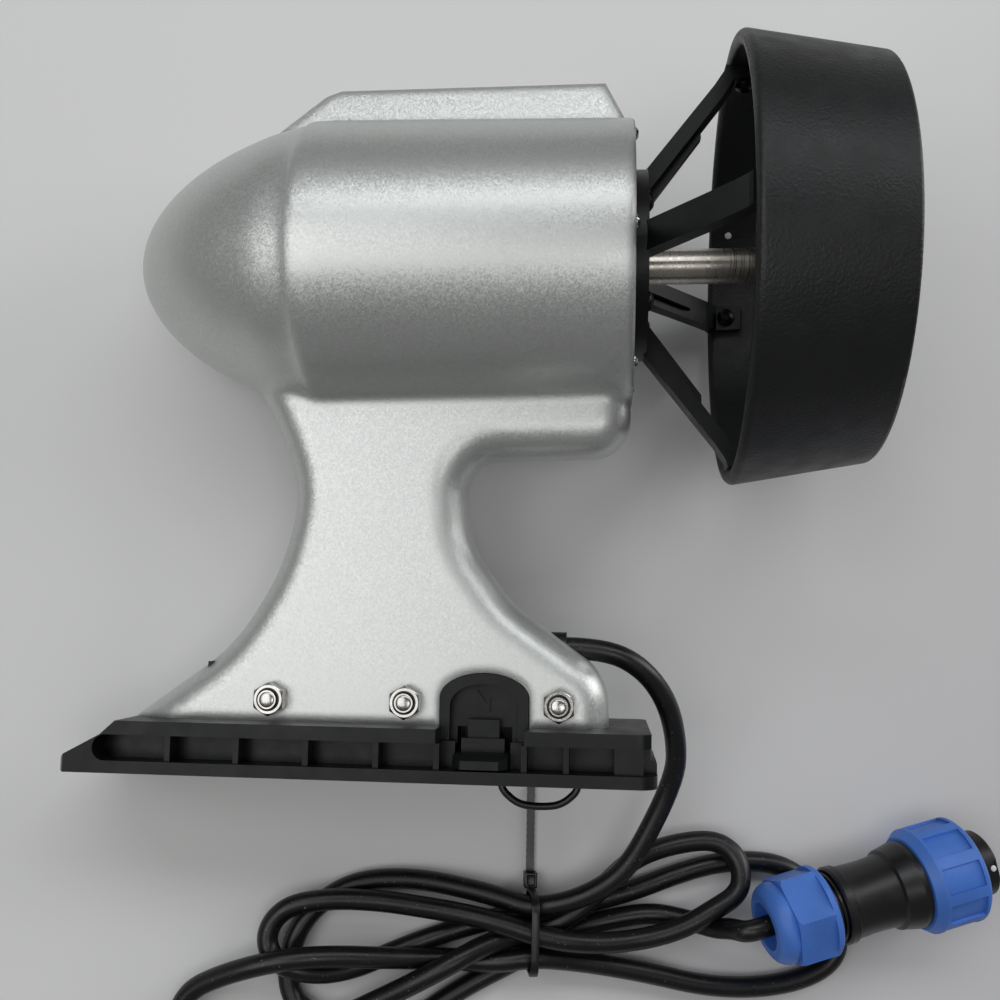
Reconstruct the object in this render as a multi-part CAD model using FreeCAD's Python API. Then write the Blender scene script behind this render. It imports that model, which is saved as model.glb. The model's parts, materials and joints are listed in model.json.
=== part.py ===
import FreeCAD, Part
import math
import os

V = FreeCAD.Vector
ALONG = V(1, 0, 0)
UP = V(0, 1, 0)
ACROSS = V(0, 0, 1)

# Every size is in millimetres. The pieces are built in the thruster's own axes: X along the
# propeller shaft from nose to duct, Y from the fin base up to the keel, Z across, towards the side
# that faces the viewer. The origin is on the shaft axis at the pod's rear rim. At the end the
# whole thruster is laid on its side, as it rests on a table.

# Pod: a bullet with a blunt nose, widest a little behind it
pod_nose_x = -144.6
pod_widest_x = -83.0
pod_radius = 42.2
pod_rear_radius = 40.8
nose_power = 1.55
pod_rim_round = 1.2
bore_radius = 34.5
bore_depth = 96.0
cover_seat_width = 4.1
cover_seat_radius = bore_radius + cover_seat_width
cover_flange = 3.0
cover_spigot = 12.0
cover_screw_count = 6
cover_screw_radius = 1.0
cover_screw_head = 1.8
cover_screw_bite = 6.0
cover_ring_width = 2.2
nose_hole_radius = 12.0
nose_hole_depth = 9.0

# Keel ridge on top of the pod
keel_half = 6.0
keel_root_half = 9.0
keel_sink = 8.0
keel_foot_bury = 2.0
keel_break_length = 3.0
keel_break_height = 1.2
keel_rear_foot_x = -1.5
keel_top_y = 53.4
keel_front_top_x = -86.0
keel_front_foot_x = -110.0
keel_rear_top_x = -8.0
keel_round = 1.6

# Column and the arm under the pod
column_half = 12.0
column_round = 8.6
column_bottom_y = -130.3
column_blend = 3.0
column_front_outline = [(-114.0, -24.0), (-99.6, -50.6), (-94.0, -67.0), (-98.4, -87.6), (-111.0, -109.6),
                        (-139.4, column_bottom_y)]
column_rear_outline = [(-6.0, column_bottom_y), (-6.0, -116.6), (-33.4, -97.2), (-45.6, -80.2),
                       (-47.4, -56.3), (-0.4, -55.4), (-0.4, -20.0)]
column_rear_radii = [16.0, 30.0, 26.0, 9.5, 11.0]

# Fin base that slides into the board
base_front_x = -153.0
base_rear_x = 6.6
base_half = 22.0
base_height = 13.9
upper_flange = 3.7
lower_flange = 3.3
groove_depth = 8.0
groove_front_x = -144.0
rake_top_x = -138.0
base_nose_bulge = 6.0
base_corner = 5.0
rib_first_x = -123.7
rib_pitch = 18.9
rib_thickness = 1.5
rib_count = 4
rib_inset = 1.6
rear_rib_x = -17.0
stop_block_length = 7.5
stop_block_gap = 2.0
stop_block_inset = 2.4
base_rear_step = 1.7
base_step_low = 0.3
base_step_high = 0.5
base_nose_edge = 0.8
rake_length = 4.0
tang_front_x = -118.0
tang_rear_x = -12.0
tang_height = 15.6
tang_half = 7.9
tang_play = 0.1
pocket_depth = 6.0
pocket_half = 11.0
pocket_near_z = 0.5
pocket_count = 6
pocket_wall = 3.0

# Cross bolts through column and tang, M5
bolt_xs = (-98.0, -60.6, -19.2)
bolt_y = -124.2
bolt_radius = 2.5
bolt_hole_play = 0.25
bolt_head_radius = 4.4
bolt_head_height = 3.2
bolt_tip = 4.9
nut_across_flats = 8.0
nut_height = 4.0

# Latch in the near side of the base
latch_x = -39.4
arch_half = 12.0
arch_straight = 6.6
arch_top_y = -116.2
arch_wall = 2.7
arch_proud = 0.4
arch_play = 0.2
recess_depth = 3.3
latch_half = 7.2
latch_tab_height = 3.5
latch_tab_y = -140.3
latch_corner = 2.2
latch_proud = 0.6
latch_slope_width = 4.0
latch_slope_height = 1.3
latch_inner_z = 2.2
latch_stem_half = 4.2
latch_stem_top_y = -128.4
latch_stem_thickness = 2.2
latch_step_width = 1.6
latch_step_height = 3.6
latch_play = 0.25
latch_travel = 4.0
spring_radius = 2.1
spring_wire = 0.32
spring_coils = 3
spring_seat = 1.4
spring_room = 2.3
spring_play = 0.2
arrow_height = 0.6
arrow_tip_y = -126.6
arrow_tip_offset = 1.2
arrow_angle = -51.7
arrow_head_length = 2.8
arrow_head_half = 2.5
arrow_neck = 2.4
arrow_shaft_half = 0.9
arrow_length = 6.6

# Duct round the propeller and the four-armed spider that carries it
duct_front_x = 26.9
duct_length = 39.0
duct_front_radius = 63.0
duct_rear_radius = 56.2
duct_wall = 4.4
duct_lip_round = 1.9
hub_radius = 27.0
hub_thickness = 3.6
hub_hole_radius = 7.5
hub_gap = 0.2
arm_count = 4
arm_width = 8.2
arm_thickness = 4.6
arm_root_radius = 19.4
arm_bend_x = 25.4
arm_bend_radius = 51.6
foot_thickness = 3.2
foot_end_x = 37.0
foot_screw_x = 32.2
foot_head_lift = 0.5
hub_screw_circle = 20.0
screw_radius = 1.5
screw_head_radius = 2.8
screw_head_height = 1.9
foot_screw_depth = 2.6
hub_screw_depth = 4.0

# Shaft, bearings and seal
shaft_radius = 5.0
shaft_front_x = -104.0
shaft_thread_x = 57.5
shaft_thread_radius = 4.0
shaft_rear_x = 65.2
bearing_radius = 15.0
bearing_width = 9.0
bearing_inner_radius = 7.5
bearing_outer_bore = 12.5
ball_radius = 2.4
ball_count = 8
seal_radius = 11.0
seal_width = 6.0
running_gap = 0.05
shaft_hole_play = 0.6
seal_lip = 1.6
seal_floor = 2.0
seat_gap = 0.05

# Motor
stator_length = 40.0
stator_rear_x = -34.0
stator_back = 5.0
stator_bore_radius = 19.0
slot_count = 12
tooth_width = 5.0
shoe_half = 4.0
winding_overhang = 8.0
winding_inset = 2.6
winding_clearance = 0.8
slot_pack_half = 2.1
magnet_thickness = 3.0
air_gap = 0.5
magnet_count = 8
magnet_angle = 38.0

# Propeller
blade_count = 3
prop_hub_radius = 10.5
prop_front_x = 40.5
prop_hub_length = 17.0
blade_tip_gap = 1.6
blade_chord_root = 17.0
blade_chord_tip = 25.0
blade_thickness_root = 3.2
blade_thickness_tip = 1.4
blade_pitch = 95.0
blade_back_share = 0.72
blade_start_angle = 20.0
prop_hub_round = 2.0
pin_radius = 1.5
pin_setback = 3.2
pin_cover = 1.6
washer_thickness = 1.4
prop_nut_flats = 13.0
prop_nut_height = 6.0

# Cable and its way out of the column
cable_radius = 3.1
cable_hole_radius = 3.5
channel_radius = 4.6
channel_x = -79.0
cable_exit_y = -109.4
cable_exit_z = -4.0
gland_radius = 4.5
gland_front_x = -32.0
gland_rear_x = -18.0
cable_start_x = -18.5
cable_bend_x = -7.6
lead_radius = 0.9
lead_bend_radius = 6.0
lead_offsets = [V(0, 0, 2.0), V(1.75, 0, -1.1), V(-1.75, 0, -1.1)]

bevel_angle = math.radians(30)

# Plug: lengths along its axis from the back of the gland nut
plug_rear = V(88.4, -143.9, 21.7)
plug_ahead = V(0.9655, 0.2466, -0.0872)
plug_length = 73.4
gland_nut_flats = 24.0
gland_nut_turn = 6.7
gland_mouth_radius = 6.9
gland_mouth_depth = 4.0
gland_thread_length = 6.0
gland_edge = 0.7
gland_back_radius = 9.0
gland_dome_radius = 11.7
gland_dome = 5.3
gland_nut_end = 18.8
gland_collar = 2.2
gland_collar_radius = 13.3
thread_radius = 9.6
thread_height = 0.5
barrel_collar_x = 22.2
barrel_collar_radius = 11.4
barrel_x = 25.6
barrel_radius = 10.8
barrel_waist_radius = 10.4
barrel_step_x = 40.2
barrel_step_radius = 11.8
barrel_flare_x = 46.2
barrel_flare_radius = 12.9
barrel_bore_radius = 7.0
sleeve_x = 48.0
sleeve_radius = 11.6
ring_front_x = 66.3
ring_radius = 15.7
ring_rim_radius = 13.8
ring_rim_length = 2.6
ring_valley = 0.9
ring_rib_count = 9
ring_rib_width = 3.4
ring_rib_turn = 64.3
ring_edge = 1.0
ring_play = 0.06
o_ring_width = 1.8
o_ring_depth = 0.9
o_ring_x = 61.2
nose_radius = 9.85
nose_root_radius = 9.6
nose_edge = 0.7
nose_key_turn = 93.7
nose_key_width = 5.0
nose_key_length = 1.6
nose_key_depth = 1.3
mouth_depth = 9.0
mouth_radius = 7.8
contact_count = 5
contact_circle = 4.3
contact_radius = 0.9

# Cable on the table
cable_run = [V(45.4, -68.4, 45.4), V(53.8, -77.4, 40.8), V(59.0, -89.6, 32.8), V(60.6, -103.0, 23.0),
             V(58.4, -116.0, 14.0), V(53.8, -124.6, 8.6)]
lead_turns = [(9.0, 4.0, 12.0), (10.0, -6.0, 25.0), (12.0, -12.0, 29.0)]
lead_straight = 6.0
lead_inside = 3.0
hank_outline = [(12.0, -140.7), (28.0, -140.7), (51.4, -124.5), (74.7, -118.1), (89.4, -119.8), (100.5, -127.8),
                (113.7, -134.3), (125.7, -151.0), (122.1, -163.1), (108.0, -169.6), (87.1, -170.8),
                (55.4, -165.8), (25.6, -160.5), (11.6, -161.3), (-9.6, -171.5), (-48.0, -188.8),
                (-74.1, -194.9), (-91.8, -191.2), (-100.7, -180.1), (-95.2, -169.3), (-68.8, -156.0),
                (-69.6, -148.8), (-60.0, -139.3), (-35.6, -131.9), (-18.0, -130.2)]
hank_low = 6.3
hank_high = 13.0
hank_high_from = -2.0
hank_high_to = 63.0
table_gap = 0.1
tie_x = 20.2
tie_width = 1.8
tie_wall = 1.2
tie_from_y = -160.2
tie_to_y = -140.0
tie_low = 1.4
tie_high = 12.4
tie_head_length = 4.4
tie_head_width = 3.6
tie_head_height = 5.2
tie_tail_y = -106.7
tie_tail_height = 1.1

# Thin loop under the base, below the latch
loop_radius = 1.0
loop_shoulder = 0.22
loop_sag = 0.6
loop_splay = 0.1
loop_from_x = -35.0
loop_to_x = -14.0
loop_low_y = -150.9
loop_z = 8.0
loop_depth = 2.0
loop_hole_play = 0.5
loop_neck = 2.8

parts = {}


def polygon(points):
    return Part.makePolygon(points + [points[0]])


def prism(points, direction):
    """Straight solid over a closed flat outline."""
    return Part.Face(polygon(points)).extrude(direction)


def cylinder(base, direction, length, radius):
    return Part.makeCylinder(radius, length, base, direction)


def cylinder_x(x0, x1, radius):
    return cylinder(V(x0, 0, 0), ALONG, x1 - x0, radius)


def ring_x(x0, x1, inner, outer):
    return cylinder_x(x0, x1, outer).cut(cylinder_x(x0, x1, inner))


def block(x0, x1, y0, y1, z0, z1):
    return Part.makeBox(x1 - x0, y1 - y0, z1 - z0, V(x0, y0, z0))


def turn_x(shape, degrees):
    """Copy turned about the shaft axis."""
    turned = shape.copy()
    turned.rotate(V(0, 0, 0), ALONG, degrees)
    return turned


def hexagon(centre, direction, across_flats, height, first_corner):
    """Hexagon nut blank with both rims chamfered; first_corner points at one corner."""
    corner = across_flats / math.sqrt(3)
    side = direction.cross(first_corner)
    points = []
    for k in range(6):
        angle = math.radians(60 * k)
        points.append(centre + first_corner * (corner * math.cos(angle)) + side * (corner * math.sin(angle)))
    blank = prism(points, direction * height)
    middle = centre + direction * (height / 2)
    rim = across_flats / 2 * 0.96
    reach = height / 2 / math.tan(bevel_angle)
    cone_up = Part.makeCone(rim + reach, rim, height / 2, middle, direction)
    cone_down = Part.makeCone(rim + reach, rim, height / 2, middle, direction * -1)
    return blank.common(cone_up.fuse(cone_down))


def pan_screw(seat, direction, shank_radius, depth, head_radius, head_height):
    """Dome-head screw: direction points from the seat into the hole."""
    head = Part.makeSphere(head_radius * 1.25, seat + direction * (head_radius * 1.25 - head_height))
    keep = cylinder(seat - direction * head_height, direction, head_height, head_radius)
    socket = hexagon(seat - direction * head_height, direction, head_radius * 0.9, head_height * 0.5,
                     perpendicular(direction))
    shank = cylinder(seat, direction, depth, shank_radius)
    return head.common(keep).cut(socket).fuse(shank)


def perpendicular(direction):
    other = ACROSS if abs(direction.dot(ACROSS)) < 0.9 else ALONG
    across = direction.cross(other)
    across.normalize()
    return across


def pod_outline_radius(x):
    """Outer radius of the pod at x."""
    if x >= pod_widest_x:
        share = (x - pod_widest_x) / (0 - pod_widest_x)
        return pod_radius + (pod_rear_radius - pod_radius) * share
    reach = (pod_widest_x - x) / (pod_widest_x - pod_nose_x)
    return pod_radius * math.sqrt(max(0.0, 1 - reach ** nose_power))


def pod_solid():
    nose = []
    steps = 12
    for k in range(steps + 1):
        reach = math.cos(0.5 * math.pi * k / steps)
        x = pod_widest_x - reach * (pod_widest_x - pod_nose_x)
        nose.append(V(x, pod_outline_radius(x), 0))
    curve = Part.BSplineCurve()
    curve.interpolate(Points=nose, InitialTangent=V(0, 1, 0), FinalTangent=V(1, 0, 0))
    rear = V(0, pod_rear_radius, 0)
    wire = Part.Wire([curve.toShape(),
                      Part.makeLine(nose[-1], rear),
                      Part.makeLine(rear, V(0, 0, 0)),
                      Part.makeLine(V(0, 0, 0), nose[0])])
    pod = Part.Face(wire).revolve(V(0, 0, 0), ALONG, 360)
    rim = [e for e in pod.Edges if abs(e.CenterOfMass.x) < 0.01 and e.Length > 2 * pod_rear_radius]
    return pod.makeFillet(pod_rim_round, rim)


def keel_solid():
    """Ridge with a sloping front and a chamfered rear end, thicker at its foot."""
    foot_y = pod_rear_radius - keel_sink
    side = [V(keel_front_foot_x - keel_sink, foot_y, 0),
            V(keel_front_foot_x, pod_outline_radius(keel_front_foot_x) - keel_foot_bury, 0),
            V(keel_front_top_x - keel_break_length, keel_top_y - keel_break_height, 0),
            V(keel_front_top_x, keel_top_y, 0),
            V(keel_rear_top_x, keel_top_y, 0),
            V(keel_rear_foot_x, pod_rear_radius - keel_foot_bury / 2, 0),
            V(keel_rear_foot_x, foot_y, 0)]
    plate = prism([p - ACROSS * (2 * keel_half) for p in side], ACROSS * (4 * keel_half))
    start_x = keel_front_foot_x - 2 * keel_sink
    section = [V(start_x, foot_y, -keel_root_half),
               V(start_x, keel_top_y + 0.1, -keel_half),
               V(start_x, keel_top_y + 0.1, keel_half),
               V(start_x, foot_y, keel_root_half)]
    keel = plate.common(prism(section, ALONG * -start_x))
    edges = []
    for edge in keel.Edges:
        middle = edge.CenterOfMass
        if middle.y > foot_y + 6 and abs(abs(middle.z) - keel_half) < 1.6 and edge.BoundBox.ZLength < 2.5:
            edges.append(edge)
    return keel.makeFillet(keel_round, edges)


def rounded_path(points, radii=None):
    """Straight runs joined by tangent arcs. With no radius given, an arc is as large as its two
    runs allow. Returns the edges and the radii used."""
    edges = []
    used = []
    last = points[0]
    for k in range(1, len(points) - 1):
        corner = points[k]
        back = points[k - 1] - corner
        ahead = points[k + 1] - corner
        shorter = min(back.Length, ahead.Length)
        back.normalize()
        ahead.normalize()
        half_turn = (math.pi - back.getAngle(ahead)) / 2
        radius = radii[k - 1] if radii else 0.45 * shorter / math.tan(half_turn)
        cut = radius * math.tan(half_turn)
        start = corner + back * cut
        end = corner + ahead * cut
        middle_way = back + ahead
        middle_way.normalize()
        middle = corner + middle_way * (radius / math.cos(half_turn) - radius)
        edges.append(Part.makeLine(last, start))
        edges.append(Part.Arc(start, middle, end).toShape())
        used.append(radius)
        last = end
    edges.append(Part.makeLine(last, points[-1]))
    return edges, used


def column_solid():
    """Column with its flared foot, its waist and the arm that runs back under the pod."""
    corners = [V(x, y, 0) for x, y in column_front_outline]
    front = rounded_path(corners)[0]
    rear_corners = [V(x, y, 0) for x, y in column_rear_outline]
    rear = rounded_path(rear_corners, column_rear_radii)[0]
    wire = Part.Wire(front + [Part.makeLine(corners[-1], rear_corners[0])] + rear
                     + [Part.makeLine(rear_corners[-1], corners[0])])
    face = Part.Face(wire)
    face.translate(V(0, 0, -column_half))
    body = face.extrude(V(0, 0, 2 * column_half))
    edges = []
    for edge in body.Edges:
        box = edge.BoundBox
        bottom = box.YMax < column_bottom_y + 0.1
        top = edge.CenterOfMass.y > column_front_outline[0][1] - 0.5
        if box.ZLength < 0.01 and not bottom and not top:
            edges.append(edge)
    return body.makeFillet(column_round, edges)


def arch_prism(half, straight, top_y, bottom_y, z0, z1):
    """Arch-shaped block on the near side, its crown a flat ellipse."""
    crown = top_y - straight
    left = V(latch_x - half, bottom_y, z0)
    right = V(latch_x + half, bottom_y, z0)
    spring_left = V(latch_x - half, crown, z0)
    spring_right = V(latch_x + half, crown, z0)
    ellipse = Part.Ellipse(V(latch_x, crown, z0), half, straight)
    arc = ellipse.toShape(0, math.pi)
    wire = Part.Wire([Part.makeLine(left, right),
                      Part.makeLine(right, spring_right),
                      arc,
                      Part.makeLine(spring_left, left)])
    return Part.Face(wire).extrude(V(0, 0, z1 - z0))


def on_pod(edge):
    """Whether an edge lies on the pod's outer surface behind its nose tip."""
    first = edge.FirstParameter
    span = edge.LastParameter - first
    for share in (0.1, 0.3, 0.5, 0.7, 0.9):
        point = edge.valueAt(first + span * share)
        if not pod_nose_x < point.x < 0:
            return False
        if abs(math.hypot(point.y, point.z) - pod_outline_radius(point.x)) > seat_gap:
            return False
    return True


def shell_solid():
    """Pod, keel and column in one, with the column's top blended into the pod."""
    shell = pod_solid().fuse([keel_solid(), column_solid()]).removeSplitter()
    meeting = [e for e in shell.Edges if e.CenterOfMass.y < 0 and e.BoundBox.XLength > 0.5 and on_pod(e)]
    return shell.makeFillet(column_blend, meeting)


def housing():
    shell = shell_solid()
    motor_room = cylinder_x(-bore_depth, 1, bore_radius)
    cover_seat = cylinder_x(-cover_flange - seat_gap, 1, cover_seat_radius)
    bearing_seat = cylinder_x(-bore_depth - bearing_width, -bore_depth + 1, bearing_radius + seat_gap)
    nose_hole = cylinder_x(-bore_depth - bearing_width - nose_hole_depth, -bore_depth, nose_hole_radius)
    channel = cylinder(V(channel_x, cable_exit_y, cable_exit_z), UP, -cable_exit_y - bore_radius + 6,
                       channel_radius)
    way_out = cylinder(V(gland_rear_x - 1, cable_exit_y, cable_exit_z), ALONG, 30, cable_hole_radius)
    gland_room = cylinder(V(channel_x, cable_exit_y, cable_exit_z), ALONG, gland_rear_x - channel_x,
                          gland_radius + seat_gap)
    tang_room = block(tang_front_x - tang_play, tang_rear_x + tang_play, column_bottom_y - 1,
                      column_bottom_y + tang_height + tang_play, -tang_half - tang_play, tang_half + tang_play)
    window = arch_prism(arch_half + arch_play, arch_straight + arch_play, arch_top_y + arch_play,
                        column_bottom_y - 1, tang_half, column_half + 4)
    cuts = [motor_room, cover_seat, bearing_seat, nose_hole, channel, way_out, gland_room, tang_room, window]
    cuts.extend(bolt_holes())
    depth = cover_flange + cover_screw_bite + 1
    for k in range(cover_screw_count):
        hole = cylinder(V(-depth, cover_screw_circle(), 0), ALONG, depth + 1, cover_screw_radius + seat_gap)
        cuts.append(turn_x(hole, cover_screw_angle(k)))
    return shell.cut(cuts)


def bolt_holes():
    """Cutting bars for the cross bolts, through the column and past its two faces."""
    reach = column_half + bolt_tip
    radius = bolt_radius + bolt_hole_play
    return [cylinder(V(x, bolt_y, -reach), ACROSS, 2 * reach, radius) for x in bolt_xs]


def cover_screw_angle(k):
    return 360 / cover_screw_count * (k + 0.5)


def cover_screw_circle():
    return (bore_radius + cover_seat_radius) / 2 + 0.2


def rear_cover():
    """Cover that closes the motor room, with the seats of seal, bearing and sealing ring."""
    spigot_end = -cover_flange - cover_spigot
    body = cylinder_x(-cover_flange, 0, cover_seat_radius - seat_gap)
    body = body.fuse(cylinder_x(spigot_end, -cover_flange, bore_radius - seat_gap))
    groove = cover_ring_width / 2 + 0.2
    cuts = [cylinder_x(spigot_end - 1, 1, shaft_radius + shaft_hole_play),
            cylinder_x(-seal_width, 1, seal_radius + seat_gap),
            cylinder_x(spigot_end - 1, spigot_end + bearing_width, bearing_radius + seat_gap),
            ring_x(cover_ring_x() - groove, cover_ring_x() + groove, bore_radius - cover_ring_width,
                   bore_radius + 1)]
    for k in range(cover_screw_count):
        hole = cylinder(V(-cover_flange - 1, cover_screw_circle(), 0), ALONG, cover_flange + 2,
                        cover_screw_radius + 0.3)
        cuts.append(turn_x(hole, cover_screw_angle(k)))
    for k in range(arm_count):
        hole = cylinder(V(-hub_screw_depth - 1, hub_screw_circle, 0), ALONG, hub_screw_depth + 2,
                        screw_radius + seat_gap)
        cuts.append(turn_x(hole, 45 + 90 * k))
    return body.cut(cuts)


def cover_ring_x():
    return -cover_flange - cover_spigot / 2


def cover_ring():
    half = cover_ring_width / 2
    return ring_x(cover_ring_x() - half, cover_ring_x() + half, bore_radius - cover_ring_width + 0.1,
                  bore_radius - seat_gap)


def cover_screws():
    screw = pan_screw(V(0, cover_screw_circle(), 0), ALONG * -1, cover_screw_radius,
                      cover_flange + cover_screw_bite, cover_screw_head, 1.2)
    return Part.makeCompound([turn_x(screw, cover_screw_angle(k)) for k in range(cover_screw_count)])


def spider():
    """Hub disc and four flat arms that bend along the duct's inner wall."""
    hub = cylinder_x(hub_gap, hub_gap + hub_thickness, hub_radius)
    slope = (arm_bend_radius - arm_root_radius) / (arm_bend_x - hub_gap)
    half = arm_thickness / 2 * math.sqrt(1 + slope * slope)
    wall = duct_inner_radius(arm_bend_x) + 6
    bend_inner = arm_bend_radius - half + 1.0
    foot_inner_start = duct_inner_radius(foot_screw_x - 3) - foot_thickness
    foot_inner_end = duct_inner_radius(foot_end_x) - foot_thickness
    side = [V(hub_gap, arm_root_radius - half, 0),
            V(arm_bend_x, bend_inner, 0),
            V(foot_screw_x - 3, foot_inner_start, 0),
            V(foot_end_x, foot_inner_end, 0),
            V(foot_end_x, wall, 0),
            V(duct_front_x + 1.2, wall, 0),
            V(arm_bend_x + 0.4, arm_bend_radius + half + 1.2, 0),
            V(arm_bend_x - 2.4, arm_bend_radius + half - 2.4 * slope, 0),
            V(hub_gap, arm_root_radius + half, 0)]
    arm = prism([p - ACROSS * (arm_width / 2) for p in side], ACROSS * arm_width)
    gusset = prism([V(hub_gap, arm_root_radius - half - 4, -1.4),
                    V(arm_bend_x - 6, arm_bend_radius - half - 6 * slope - 2.4, -1.4),
                    V(arm_bend_x - 6, arm_bend_radius - half - 6 * slope + 2, -1.4),
                    V(hub_gap, arm_root_radius, -1.4)], ACROSS * 2.8)
    bar = arm.fuse(gusset).common(duct_room())
    shape = hub
    for k in range(arm_count):
        shape = shape.fuse(turn_x(bar, 90 * k))
    cuts = [cylinder_x(-1, hub_thickness + 2, hub_hole_radius)]
    for k in range(arm_count):
        hole = cylinder(V(-1, hub_screw_circle, 0), ALONG, hub_thickness + 2, screw_radius + 0.15)
        cuts.append(turn_x(hole, 45 + 90 * k))
        foot = cylinder(V(foot_screw_x, duct_inner_radius(foot_screw_x) - 8, 0), UP, 12, screw_radius + 0.15)
        cuts.append(turn_x(foot, 90 * k))
    return shape.cut(cuts).removeSplitter()


def duct_outer_radius(x):
    share = (x - duct_front_x) / duct_length
    return duct_front_radius + (duct_rear_radius - duct_front_radius) * share


def duct_inner_radius(x):
    return duct_outer_radius(x) - duct_wall


def duct_room():
    """Everything inside the duct's inner wall, as a long cone, with a small play."""
    x0 = -20
    x1 = duct_front_x + duct_length + 10
    return Part.makeCone(duct_inner_radius(x0) - seat_gap, duct_inner_radius(x1) - seat_gap, x1 - x0,
                         V(x0, 0, 0), ALONG)


def duct():
    x0 = duct_front_x
    x1 = duct_front_x + duct_length
    section = [V(x0, duct_inner_radius(x0), 0), V(x0, duct_outer_radius(x0), 0),
               V(x1, duct_outer_radius(x1), 0), V(x1, duct_inner_radius(x1), 0)]
    body = Part.Face(polygon(section)).revolve(V(0, 0, 0), ALONG, 360)
    front = [e for e in body.Edges if abs(e.CenterOfMass.x - x0) < 0.01 and e.BoundBox.XLength < 0.1]
    body = body.makeFillet(duct_lip_round, front)
    rear = [e for e in body.Edges if abs(e.CenterOfMass.x - x1) < 0.01 and e.BoundBox.XLength < 0.1]
    body = body.makeFillet(duct_wall * 0.3, rear)
    holes = []
    for k in range(arm_count):
        hole = cylinder(V(foot_screw_x, duct_inner_radius(foot_screw_x) - 2, 0), UP,
                        2 + foot_screw_depth + 0.4, screw_radius + seat_gap)
        holes.append(turn_x(hole, 90 * k))
    return body.cut(holes)


def duct_screws():
    seat = V(foot_screw_x, duct_inner_radius(foot_screw_x) - foot_thickness - foot_head_lift, 0)
    screw = pan_screw(seat, UP, screw_radius, foot_thickness + foot_screw_depth, screw_head_radius,
                      screw_head_height)
    return Part.makeCompound([turn_x(screw, 90 * k) for k in range(arm_count)])


def spider_screws():
    seat = V(hub_gap + hub_thickness, hub_screw_circle, 0)
    screw = pan_screw(seat, ALONG * -1, screw_radius, hub_gap + hub_thickness + hub_screw_depth,
                      screw_head_radius, screw_head_height)
    return Part.makeCompound([turn_x(screw, 45 + 90 * k) for k in range(arm_count)])


def shaft():
    body = cylinder_x(shaft_front_x, shaft_thread_x, shaft_radius)
    body = body.fuse(cylinder_x(shaft_thread_x, shaft_rear_x, shaft_thread_radius))
    ends = [e for e in body.Edges if e.CenterOfMass.x > shaft_rear_x - 0.01 and e.BoundBox.XLength < 0.1]
    body = body.makeChamfer(0.6, ends)
    return body.cut(cylinder(V(pin_x(), -20, 0), UP, 40, pin_radius))


def pin_x():
    return prop_front_x + pin_setback


def bearing(x0):
    """Outer ring, inner ring and balls of one ball bearing."""
    outer = ring_x(x0, x0 + bearing_width, bearing_outer_bore, bearing_radius)
    inner = ring_x(x0, x0 + bearing_width, shaft_radius + running_gap / 2, bearing_inner_radius)
    middle = (bearing_outer_bore + bearing_inner_radius) / 2
    ball = Part.makeSphere(ball_radius, V(x0 + bearing_width / 2, middle, 0))
    balls = Part.makeCompound([turn_x(ball, 360 / ball_count * k) for k in range(ball_count)])
    return outer, inner, balls


def shaft_seal():
    body = ring_x(-seal_width, 0, shaft_radius + running_gap, seal_radius)
    return body.cut(ring_x(-seal_width - 1, -seal_floor, shaft_radius + seal_lip, seal_radius - seal_lip))


def stator_core():
    x1 = stator_rear_x
    x0 = x1 - stator_length
    core = ring_x(x0, x1, bore_radius - stator_back, bore_radius - seat_gap)
    tooth = block(x0, x1, stator_bore_radius + 1, bore_radius - stator_back + 0.5, -tooth_width / 2,
                  tooth_width / 2)
    shoe = block(x0, x1, stator_bore_radius - 1, stator_bore_radius + 2, -shoe_half, shoe_half)
    bars = tooth.fuse(shoe).cut(cylinder_x(x0 - 1, x1 + 1, stator_bore_radius))
    for k in range(slot_count):
        core = core.fuse(turn_x(bars, 360 / slot_count * k))
    return core


def stator_windings():
    """Wire packs in the slots, joined by the round overhangs at both ends."""
    x1 = stator_rear_x
    x0 = x1 - stator_length
    inner = stator_bore_radius + winding_inset
    outer = bore_radius - stator_back - winding_clearance
    gap = winding_clearance / 2
    winding = ring_x(x0 - winding_overhang, x0 - gap, inner, outer)
    winding = winding.fuse(ring_x(x1 + gap, x1 + winding_overhang, inner, outer))
    pack = block(x0 - 1, x1 + 1, inner + winding_clearance, outer - gap, -slot_pack_half, slot_pack_half)
    for k in range(slot_count):
        winding = winding.fuse(turn_x(pack, 360 / slot_count * (k + 0.5)))
    return winding


def rotor_core():
    x1 = stator_rear_x
    return ring_x(x1 - stator_length, x1, shaft_radius + running_gap / 2, magnet_inner_radius() - running_gap)


def magnet_inner_radius():
    return stator_bore_radius - air_gap - magnet_thickness


def rotor_magnets():
    x1 = stator_rear_x
    x0 = x1 - stator_length + 1
    reach = stator_bore_radius + 5
    half = math.radians(magnet_angle / 2)
    wedge = prism([V(x0, 0, 0), V(x0, reach * math.cos(half), -reach * math.sin(half)),
                   V(x0, reach * math.cos(half), reach * math.sin(half))], V(stator_length - 2, 0, 0))
    magnet = ring_x(x0, x1 - 1, magnet_inner_radius(), stator_bore_radius - air_gap).common(wedge)
    return Part.makeCompound([turn_x(magnet, 360 / magnet_count * k) for k in range(magnet_count)])


def blade_section(radius, chord, thickness, centre_x):
    """Lens-shaped section of a blade at one radius, set at the angle of the blade's pitch."""
    angle = math.atan(blade_pitch / (2 * math.pi * radius))
    along = V(math.sin(angle), 0, math.cos(angle))
    normal = V(math.cos(angle), 0, -math.sin(angle))
    middle = V(centre_x, radius, 0)
    nose = middle - along * (chord / 2)
    tail = middle + along * (chord / 2)
    back = Part.Arc(nose, middle + normal * (thickness * blade_back_share), tail).toShape()
    face = Part.Arc(tail, middle - normal * (thickness * (1 - blade_back_share)), nose).toShape()
    return Part.Wire([back, face])


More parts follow.
